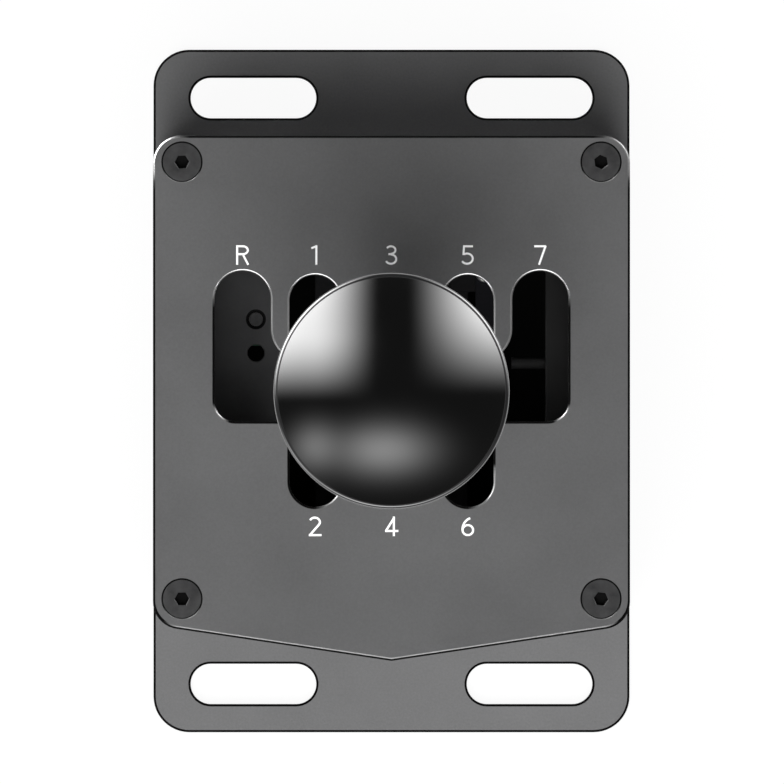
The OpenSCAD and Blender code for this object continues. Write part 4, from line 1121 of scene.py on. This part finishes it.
class SHIFTER_OT_blocks(PieceOperator):
    """Front and rear block and the two side walls"""

    bl_idname = "shifter.blocks"
    bl_label = "Blocks and walls"

    def execute(self, context):
        for node in ("front_block", "rear_block", "left_wall", "right_wall"):
            # The blocks' and walls' inner faces get black painted shade from their finish
            dress(node, "housing", "block_grey", self.sizes.gate_edge)
        return {"FINISHED"}


class SHIFTER_OT_gate_cover(PieceOperator):
    """Gate cover with rounded edges, bright with painted highlights of bare metal and dark with black
    painted shade
    """

    bl_idname = "shifter.gate_cover"
    bl_label = "Gate cover"

    # Longest part of an edge with one rounding, steps of the rounding, and room round a screw
    edge_part = 2 * MM
    edge_steps = 6
    hole_room = 0.3 * MM
    # Least share of the rounding at a shoulder, and how far it goes on
    shoulder_share = 0.8
    shoulder_reach = 2 * MM
    # Levels of the painted highlights: nearly everywhere, at the upper right corner and at the outer
    # slots' feet
    half_worn = 0.5
    right_corner_worn = 0.45
    foot_worn = 0.6
    # Reach of the painted highlight at a screw hole, and where it begins
    hole_reach = 5 * MM
    hole_start = 2 * MM
    # The chevron's painted highlight line: the uppermost step of its rounding, and how far it goes on
    worn_line = 0.03 * MM
    line_reach = 4 * MM
    # How far the painted highlight at a slot's head goes on beside it, and part of a shoulder that has
    # none
    head_reach = 2 * MM
    shoulder_part = 0.7
    # Lengths over which a rounding or its painted highlight changes, from sudden to gradual
    short_fade = 2 * MM
    fade = 3 * MM
    long_fade = 4 * MM
    column_fade = 5 * MM

    def execute(self, context):
        sizes = self.sizes
        screws = solids("cover_screws")
        holes = [(low + high) / 2 for low, high in screws]
        reach = (screws[0][1].x - screws[0][0].x) / 2 + self.hole_room
        fine = 2 * sizes.fine_edge / sizes.chevron_edge
        plain = sizes.cover_edge / sizes.chevron_edge
        shoulder = Vector((sizes.shoulder_across, sizes.shoulder_ahead))
        chevron = COVER_LOW.y + sizes.chevron_reach

        def share(place):
            """None below, fine round the screws, and less where a slot meets a shoulder."""
            if place.z < COVER_LOW.z + fine * MM:
                return 0.0
            if min((place.xy - hole.xy).length for hole in holes) < reach:
                return fine
            if place.y < chevron + self.long_fade:
                return 1.0 + (plain - 1.0) * ramp(place.y, chevron, self.long_fade)
            far = (Vector((abs(place.x), place.y)) - shoulder).length
            more = (1.0 - self.shoulder_share) * ramp(far, self.shoulder_reach, self.fade)
            return plain * (self.shoulder_share + more)

        # Rounded edges with painted highlights and black painted shade
        coats = "cover_grey cut_edge"
        rounding = (sizes.chevron_edge, self.edge_steps, coats, share, self.edge_part)
        piece = dress("gate_cover", "housing", "cover_grey", *rounding)
        # Stores the painted highlights on the cover's edges
        wear(piece, lambda place: self.worn(place, holes))
        return {"FINISHED"}

    def worn(self, place, holes):
        """How much bare metal each place shows as painted highlights: at the slots' heads and shoulders,
        the upper corners, the lower side of the screw holes, a line along the chevron and the outer
        slots' feet.
        """
        sizes = self.sizes
        across = abs(place.x)
        if place.z < COVER_LOW.z + 1 * MM:
            return 0.0
        near = min(holes, key=lambda hole: (place.xy - hole.xy).length)
        if (place.xy - near.xy).length < self.hole_reach:
            return min(self.half_worn, ramp(near.y - place.y, self.hole_start, self.long_fade))
        if place.y > sizes.top_number_line:
            # The painted highlight is stronger at the upper left corner than at the upper right
            level = 1.0 if place.x < 0 else self.right_corner_worn
            return level * ramp(min(across, place.y), sizes.worn_corner, self.fade)
        if place.y < -sizes.bottom_number_line:
            level = self.half_worn * ramp(sizes.worn_corner + self.line_reach - across, 0.0, self.fade)
            return level if place.z > COVER_HIGH.z - self.worn_line else 0.0
        if across > sizes.worn_corner:
            return 0.0
        if place.y < -sizes.worn_head + self.head_reach:
            column = math.copysign(sizes.column_step, place.x)
            return self.half_worn * ramp(place.x, column, self.column_fade)
        head = ramp(place.y, sizes.worn_head, self.fade)
        if across < sizes.outer_column:
            ahead = place.y > sizes.shoulder_ahead * self.shoulder_part
            return max(head, self.half_worn if ahead and across > sizes.shoulder_across else 0.0)
        foot = ramp(-place.y, sizes.worn_foot, self.short_fade)
        side = ramp(across, sizes.outer_column + self.fade, self.short_fade)
        return max(head, self.foot_worn * foot * side)


class SHIFTER_OT_gate_numbers(PieceOperator):
    """Gear numbers in white ink on the gate cover"""

    bl_idname = "shifter.gate_numbers"
    bl_label = "Gear numbers"

    def execute(self, context):
        sizes = self.sizes
        height = sizes.number_height
        half = sizes.number_stroke / height / 2
        wide = sizes.number_width / height / 2
        middle = COVER_HIGH.z + sizes.ink_height / 2
        step = sizes.column_step
        outer = sizes.outer_column
        rows = [
            (sizes.top_number_line, zip("R1357", (-outer, -step, 0.0, step, outer))),
            (-sizes.bottom_number_line - height, zip("246", (-step, 0.0, step))),
        ]
        lines = [
            [(across + x * height, foot + y * height, middle) for x, y in stroke]
            for foot, numbers in rows
            for label, across in numbers
            for stroke in number_strokes(label, half, wide)
        ]
        values = {"Stroke": sizes.number_stroke, "Thickness": sizes.ink_height}
        values["Material"] = finish_of("number_ink")
        piece = run_tree(path_curve("gear_numbers", lines), ink_strokes, values)
        finish(piece, "housing", "cover_grey")
        return {"FINISHED"}


class SHIFTER_OT_flat_screws(PieceOperator):
    """Flat-head socket screws of the cover, the base and the walls"""

    bl_idname = "shifter.flat_screws"
    bl_label = "Flat-head screws"

    def execute(self, context):
        rounding = self.sizes.head_round
        # Node, axis, ways, shank, socket and rounding of the head's rim
        for node, axis, ways, shank, socket, rim in (
            ("cover_screws", 2, FORWARD, 4.0, 2.75, rounding),
            ("base_screws", 2, BACKWARD, 5.0, 3.0, rounding),
            ("wall_screws", 0, OUTWARD, 3.0, 2.0, rounding * 0.7),
        ):
            def model(name, long, head):
                return flat_head_model(name, shank * MM, head, long, socket * MM, rim)

            place_screws(node, "housing", "black_oxide", axis, ways, 0.0, 0, model)
        return {"FINISHED"}


class SHIFTER_OT_small_screws(PieceOperator):
    """Round-head screws of the boards, the brackets and the detent"""

    bl_idname = "shifter.small_screws"
    bl_label = "Round-head screws"

    def execute(self, context):
        # Node, body, slot, axis, ways, head height, shank, socket and slope of the head's rim
        for node, body, slot, axis, ways, height, shank, socket, slope in (
            ("board_screws", "housing", "black_oxide", 2, BACKWARD, 1.65, 3.0, 2.0, 0.5),
            ("sensor_screws", "housing", "zinc", 2, FORWARD, 1.2, 2.0, 1.3, 0.35),
            ("usb_screws", "housing", "zinc", 1, BACKWARD, 1.2, 2.0, 1.3, 0.35),
            ("anchor_screws", "housing", "zinc", 1, INWARD, 1.6, 3.0, 2.0, 0.5),
            ("detent_screw", "yoke", "zinc", 2, FORWARD, 1.5, 2.5, 1.5, 0.4),
        ):
            seat = height * MM

            def model(name, long, head):
                sizes = (shank * MM, head, seat, long - seat, socket * MM, slope * MM)
                return round_head_model(name, *sizes)

            place_screws(node, body, slot, axis, ways, seat, axis, model)
        return {"FINISHED"}


class SHIFTER_OT_brackets(PieceOperator):
    """Shelf and rail that show through the outer slots, and the stop screw"""

    bl_idname = "shifter.brackets"
    bl_label = "Shelf, rail and stop"

    def execute(self, context):
        sizes = self.sizes
        self.shelf(sizes)
        dress("right_rail", "housing", "black_sheet", sizes.gate_edge, coats="rail_black")
        dress("stop_screw", "housing", "black_oxide", sizes.fine_edge, coats="rail_black")
        dress("stop_nut", "housing", "zinc", sizes.fine_edge)
        return {"FINISHED"}

    def shelf(self, sizes):
        """Shelf with fine edges and painted shade: black countersinks round the ends of the screws,
        where shadow falls.
        """
        screws = solids("board_screws")
        middles = [(low + high) / 2 for low, high in screws]
        radius = (screws[0][1].x - screws[0][0].x) / 2
        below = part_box("left_shelf")[1].z - 0.01 * MM
        fine = sizes.fine_edge / sizes.gate_edge * 0.3

        def near_screw(place):
            return min((place.xy - middle.xy).length for middle in middles) < radius

        def share(place):
            return fine if near_screw(place) else 1.0

        piece = dress("left_shelf", "housing", "black_sheet", sizes.gate_edge, share=share)
        # Painted shade in the countersinks round the screws' ends
        paint(piece, finish_of("socket_shade"), lambda place: near_screw(place) and place.z < below)


class SHIFTER_OT_boards(PieceOperator):
    """Circuit boards, their chips, standoffs, spacers and the socket"""

    bl_idname = "shifter.boards"
    bl_label = "Boards and socket"

    def execute(self, context):
        edge = self.sizes.fine_edge
        for node in ("main_board", "sensor_board", "usb_board"):
            dress(node, "housing", "circuit_board", edge, 1)
        for node in ("board_chips", "hall_sensor"):
            dress(node, "housing", "chip_black", edge, 1)
        dress("board_standoffs", "housing", "brass", edge)
        dress("sensor_spacers", "housing", "nylon", edge)
        dress("usb_socket", "housing", "zinc", edge / 2)
        return {"FINISHED"}


class SHIFTER_OT_anchors(PieceOperator):
    """Brackets that hold the centring springs' legs"""

    bl_idname = "shifter.anchors"
    bl_label = "Spring anchors"

    def execute(self, context):
        dress("spring_anchors", "housing", "black_sheet", self.sizes.gate_edge)
        return {"FINISHED"}


class SHIFTER_OT_bearings(PieceOperator):
    """Races and balls of the four bearings"""

    bl_idname = "shifter.bearings"
    bl_label = "Bearings"

    def execute(self, context):
        for node, body in (
            ("trunnion_outer_races", "housing"),
            ("trunnion_inner_races", "yoke"),
            ("shaft_outer_races", "yoke"),
            ("shaft_inner_races", "lever"),
        ):
            dress(node, body, "bearing_steel", self.sizes.fine_edge, 2)
        for node, body in (("trunnion_balls", "yoke"), ("shaft_balls", "lever")):
            balls = solids(node)
            radius = (balls[0][1].z - balls[0][0].z) / 2
            side = arc((0, 0), radius, -90.0, 90.0, BALL_RINGS)[1:-1]
            ball = turned(node + "_model", [(0, -radius), *side, (0, radius)], BALL_STEPS)
            places = [(low + high) / 2 for low, high in balls]
            upright = [TURNS[2, 1]] * len(places)
            place_pieces(node, body, "bearing_steel", ball, places, upright)
        return {"FINISHED"}


class SHIFTER_OT_yoke(PieceOperator):
    """Yoke with its pins and sleeves"""

    bl_idname = "shifter.yoke"
    bl_label = "Yoke, pins and sleeves"

    def execute(self, context):
        edge = self.sizes.gate_edge
        dress("yoke", "yoke", "yoke_black", edge)
        dress("trunnion_pins", "yoke", "turned_steel", edge, coats="turned_along")
        dress("trunnion_sleeves", "yoke", "brass", self.sizes.fine_edge)
        return {"FINISHED"}


class SHIFTER_OT_springs(PieceOperator):
    """Centring springs, wound from one wire each"""

    bl_idname = "shifter.springs"
    bl_label = "Centring springs"

    # With this many steps round a turn the wire keeps inside the CAD spring's box
    turn_steps = 32
    wire_sides = 20

    def execute(self, context):
        sizes = self.sizes
        radius = sizes.coil_radius
        half = sizes.wire / 2
        turns = sizes.coil_turns
        steps = int(turns * self.turn_steps)
        span = turns * sizes.coil_pitch
        values = {"Thickness": sizes.wire, "Sides": self.wire_sides}
        values["Material"] = finish_of("spring_steel")
        for node, side in (("front_centring_spring", 1), ("rear_centring_spring", -1)):
            low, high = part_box(node)
            pivot = low.z + radius + half
            start = low.y + half if side > 0 else high.y - half
            coil = []
            for step in range(steps + 1):
                turn = -2 * math.pi * turns * step / steps
                across = side * radius * math.cos(turn)
                along = start + side * span * step / steps
                coil.append((across, along, pivot + radius * math.sin(turn)))
            ends = [(*place[:2], high.z) for place in (coil[0], coil[-1])]
            piece = path_curve(node + "_piece", [[ends[0], *coil, ends[1]]])
            piece.data.twist_mode = "MINIMUM"
            finish(run_tree(piece, wire_along_a_path, values), "yoke", "spring_steel", node)
        return {"FINISHED"}


class SHIFTER_OT_detent(PieceOperator):
    """Leaf spring and the notched cam that it rests on"""

    bl_idname = "shifter.detent"
    bl_label = "Detent"

    def execute(self, context):
        edge = self.sizes.fine_edge
        dress("detent_spring", "yoke", "spring_steel", edge, coats="blued_steel")
        dress("detent_cam", "lever", "turned_steel", edge, coats="turned_across")
        return {"FINISHED"}


class SHIFTER_OT_hub(PieceOperator):
    """Hub with its shaft, spacers, clips, magnet, grub screws and stop collar"""

    bl_idname = "shifter.hub"
    bl_label = "Lever hub"

    def execute(self, context):
        edge = self.sizes.fine_edge
        dress("lever_hub", "lever", "yoke_black", edge)
        dress("shift_shaft", "lever", "turned_steel", edge, coats="turned_across")
        dress("hub_spacers", "lever", "brass", edge)
        dress("shaft_clips", "lever", "spring_steel", edge)
        dress("sensor_magnet", "lever", "bearing_steel", edge)
        dress("grub_screws", "lever", "black_oxide", edge, 1)
        dress("stop_collar", "lever", "bump_black", self.sizes.gate_edge)
        return {"FINISHED"}


class SHIFTER_OT_rod(PieceOperator):
    """Turned rod of the lever and the nut that locks the knob"""

    bl_idname = "shifter.rod"
    bl_label = "Rod and nut"

    def execute(self, context):
        sizes = self.sizes
        dress("lever_rod", "lever", "turned_steel", sizes.rod_edge)
        dress("jam_nut", "lever", "black_oxide", sizes.fine_edge)
        dress("knob_insert", "lever", "brass", sizes.fine_edge)
        return {"FINISHED"}


class SHIFTER_OT_knob(PieceOperator):
    """Knob: gloss dome, rim ring and satin lower shell"""

    bl_idname = "shifter.knob"
    bl_label = "Knob"

    # Room round the spigot, depths of the insert's bore and the dome's recess, rounding of the dome
    room = 0.02 * MM
    bore_depth = 21.5 * MM
    recess_depth = 4.2 * MM
    dome_edge = 0.25 * MM

    def execute(self, context):
        self.turn("knob_shell", self.shell(self.sizes), "shell_black", "shell_black", "knob_base")
        self.turn("knob_rim", self.ring(self.sizes), "rim_black", "shell_black", "knob_ring")
        self.turn("knob_dome", self.dome(self.sizes), "knob_black", "knob_black", "knob_cap")
        return {"FINISHED"}

    def turn(self, name, profile, coat, slot, node):
        piece = turned(name, profile, self.sizes.smooth_steps, finish_of(coat))
        finish(piece, "lever", slot, node)

    def shell(self, sizes):
        """Lower shell: neck, hollow and round shell, open below for the insert."""
        rim = RIM_LOW.z
        radius = SHELL_HIGH.x
        neck = sizes.neck_radius
        hollow = sizes.hollow_radius
        drop = math.sqrt((radius + hollow) ** 2 - (neck + hollow) ** 2)
        turn = math.degrees(math.atan2(drop, neck + hollow))
        foot = SHELL_LOW.z
        edge = sizes.gate_edge
        bore = sizes.insert_radius
        top = foot + self.bore_depth
        profile = [(0, top), (bore, top), (bore, foot), (neck - edge, foot), (neck, foot + edge)]
        profile += arc((neck + hollow, rim - drop), hollow, 180.0, 180.0 - turn, 16)
        profile += arc((0, rim), radius, -turn, 0.0, 48)[1:]
        spigot = sizes.spigot_radius
        return profile + [(spigot, rim), (spigot, SHELL_HIGH.z), (0, SHELL_HIGH.z)]

    def ring(self, sizes):
        """Rim ring with its rounded edge."""
        half = (RIM_HIGH.z - RIM_LOW.z) / 2
        inner = sizes.spigot_radius + self.room
        side = arc((RIM_HIGH.x - half, RIM_LOW.z + half), half, -90.0, 90.0, 20)
        return [(inner, RIM_LOW.z), *side, (inner, RIM_HIGH.z)]

    def dome(self, sizes):
        """Dome: a cap of a larger ball, with a small rounding where it meets the rim."""
        wide = CAP_HIGH.x
        tall = CAP_HIGH.z - CAP_LOW.z
        ball = (wide ** 2 + tall ** 2) / (2 * tall)
        edge = self.dome_edge
        middle = CAP_HIGH.z - ball
        slope = math.asin((wide - edge) / (ball - edge))
        turn_in = ((ball - edge) * math.sin(slope), middle + (ball - edge) * math.cos(slope))
        start = 90.0 - math.degrees(slope)
        recess = sizes.spigot_radius + self.room
        top = CAP_LOW.z + self.recess_depth
        profile = [(0, top), (recess, top), (recess, CAP_LOW.z), (turn_in[0] - edge, CAP_LOW.z)]
        profile += arc(turn_in, edge, -25.0, start, 5)
        profile += arc((0, middle), ball, start, 90.0, 72)[1:-1]
        return profile + [(0, CAP_HIGH.z)]


class SHIFTER_OT_stage(PieceOperator):
    """White floor, lamps, the room that gloss shows, and the camera"""

    bl_idname = "shifter.stage"
    bl_label = "Stage"

    # Slope of the dome at its rim, which shows the edge of the disc of directions
    rim_slope = math.radians(44.0)
    # Side, start and end across, start and end up, and level of each window that gloss shows
    windows = ((-1.0, 0.11, 0.70, -0.10, 0.52, 18.8), (1.0, 0.14, 0.95, -0.04, 0.82, 20.0))
    # Middle across and up, width, height and level of each lamp that gloss shows
    lamps = ((-0.07, -0.515, 0.265, 0.14, 5.7), (-0.67, -0.48, 0.13, 0.13, 3.4))

    def execute(self, context):
        stage = context.scene.shifter_stage
        self.floor(stage)
        self.key_lamp(stage)
        self.world(context.scene, stage)
        self.camera(context.scene, stage)
        context.scene.view_settings.view_transform = "Standard"
        return {"FINISHED"}

    def floor(self, stage):
        """White floor that keeps a little of the object's shadow."""
        half = stage.floor_size / 2
        corners = [(-half, -half, 0), (half, -half, 0), (half, half, 0), (-half, half, 0)]
        mesh = bpy.data.meshes.new("floor")
        mesh.from_pydata(corners, [], [(0, 1, 2, 3)])
        material = bpy.data.materials.new("white_floor")
        material.use_nodes = True
        tree = material.node_tree
        tree.nodes.clear()
        ray = add(tree, "ShaderNodeLightPath").outputs
        seen = maths(tree, "MAXIMUM", ray["Is Camera Ray"], ray["Is Glossy Ray"])
        seen = maths(tree, "MAXIMUM", seen, ray["Is Transmission Ray"])
        white = add(tree, "ShaderNodeBsdfDiffuse", {"Color": (0.9, 0.9, 0.9, 1.0)})
        glow = add(tree, "ShaderNodeEmission")
        inputs = {"Fac": maths(tree, "MULTIPLY", seen, 1.0 - stage.floor_shadow)}
        mix = add(tree, "ShaderNodeMixShader", {**inputs, 1: white.outputs[0], 2: glow.outputs[0]})
        add(tree, "ShaderNodeOutputMaterial", {"Surface": mix.outputs[0]})
        mesh.materials.append(material)
        new_object("floor", mesh)

    def key_lamp(self, stage):
        """Broad overhead lamp, a little towards the driver."""
        lamp = bpy.data.lights.new("overhead_lamp", "AREA")
        lamp.shape = "DISK"
        lamp.size = stage.key_width
        lamp.energy = stage.key_watts
        holder = new_object("overhead_lamp", lamp)
        aim = Vector((-math.tan(stage.key_left), -math.tan(stage.key_back), 1.0)).normalized()
        holder.location = Vector((0, 0, COVER_HIGH.z)) + aim * stage.key_distance
        holder.rotation_euler = aim.to_track_quat("Z", "Y").to_euler()
        holder.visible_glossy = False

    def patch(self, tree, maker, *values):
        """What gloss shows of a window or a lamp, from its group's inputs in their order."""
        node = add(tree, "ShaderNodeGroup", node_tree=tree_of(maker))
        for socket, value in zip(node.inputs, values):
            feed(tree, socket, value)
        return node.outputs[0]

    def world(self, scene, stage):
        """Even light all round, and for gloss a dark room with soft lamps at its sides."""
        world = bpy.data.worlds.new("studio")
        world.use_nodes = True
        scene.world = world
        tree = world.node_tree
        tree.nodes.clear()
        way = add(tree, "ShaderNodeTexCoord").outputs["Generated"]
        # The middle between a direction and straight up: where a dome seen from above shows it
        half_way = vector_maths(tree, "NORMALIZE", vector_maths(tree, "ADD", way, (0.0, 0.0, 1.0)))
        parts = add(tree, "ShaderNodeSeparateXYZ", {0: half_way}).outputs
        across, up = [maths(tree, "DIVIDE", parts[axis], math.sin(self.rim_slope)) for axis in "XY"]
        total = stage.room
        for side, *values in self.windows:
            sideways = maths(tree, "MULTIPLY", across, side)
            total = maths(tree, "ADD", self.patch(tree, soft_patch, sideways, up, *values), total)
        for values in self.lamps:
            total = maths(tree, "ADD", self.patch(tree, round_patch, across, up, *values), total)
        ray = add(tree, "ShaderNodeLightPath").outputs
        seen = maths(tree, "MAXIMUM", ray["Is Camera Ray"], ray["Is Transmission Ray"])
        level = self.choice(tree, ray["Is Glossy Ray"], stage.fill, total)
        shown = self.choice(tree, seen, level, 1.0)
        light = add(tree, "ShaderNodeBackground", {"Color": (1.0, 1.0, 1.0, 1.0), "Strength": shown})
        add(tree, "ShaderNodeOutputWorld", {"Surface": light.outputs[0]})

    def choice(self, tree, factor, first, second):
        """The first number where the factor is 0, and the second where it is 1."""
        inputs = {"Factor": factor, 2: first, 3: second}
        return add(tree, "ShaderNodeMix", inputs, data_type="FLOAT").outputs[0]

    def camera(self, scene, stage):
        """Camera straight above, far away behind a long lens."""
        camera = bpy.data.cameras.new("camera")
        camera.lens = stage.lens / MM
        camera.sensor_width = stage.sensor / MM
        camera.clip_end = 100.0
        holder = new_object("camera", camera)
        distance = stage.picture_width * stage.lens / stage.sensor
        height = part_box("base_plate")[1].z + distance
        holder.location = (stage.centre_right, -stage.centre_back, height)
        scene.camera = holder


class SHIFTER_PT_pieces(bpy.types.Panel):
    bl_idname = "SHIFTER_PT_pieces"
    bl_label = "Gear shifter"
    bl_space_type = "VIEW_3D"
    bl_region_type = "UI"
    bl_category = "Shifter"

    def draw(self, context):
        for operator in OPERATORS:
            self.layout.operator(operator.bl_idname)
        for group in GROUPS:
            box = self.layout.box()
            settings = getattr(context.scene, group)
            for name in settings.bl_rna.properties.keys():
                if name not in ("rna_type", "name"):
                    box.prop(settings, name)


OPERATORS = (
    SHIFTER_OT_base_plate,
    SHIFTER_OT_blocks,
    SHIFTER_OT_gate_cover,
    SHIFTER_OT_gate_numbers,
    SHIFTER_OT_flat_screws,
    SHIFTER_OT_small_screws,
    SHIFTER_OT_brackets,
    SHIFTER_OT_boards,
    SHIFTER_OT_anchors,
    SHIFTER_OT_bearings,
    SHIFTER_OT_yoke,
    SHIFTER_OT_springs,
    SHIFTER_OT_detent,
    SHIFTER_OT_hub,
    SHIFTER_OT_rod,
    SHIFTER_OT_knob,
    SHIFTER_OT_stage,
)
GROUPS = {
    "shifter_sizes": ShifterSizes,
    "shifter_colours": ShifterColours,
    "shifter_stage": ShifterStage,
}


def register():
    for name, group in GROUPS.items():
        bpy.utils.register_class(group)
        setattr(bpy.types.Scene, name, bpy.props.PointerProperty(type=group))
    for operator in OPERATORS:
        bpy.utils.register_class(operator)
    bpy.utils.register_class(SHIFTER_PT_pieces)


def unregister():
    bpy.utils.unregister_class(SHIFTER_PT_pieces)
    for operator in reversed(OPERATORS):
        bpy.utils.unregister_class(operator)
    for name, group in GROUPS.items():
        delattr(bpy.types.Scene, name)
        bpy.utils.unregister_class(group)


def main():
    register()
    for operator in OPERATORS:
        module, action = operator.bl_idname.split(".")
        result = getattr(getattr(bpy.ops, module), action)()
        if result != {"FINISHED"}:
            raise RuntimeError(f"{operator.bl_label} wasn't made")


if __name__ == "__main__":
    main()
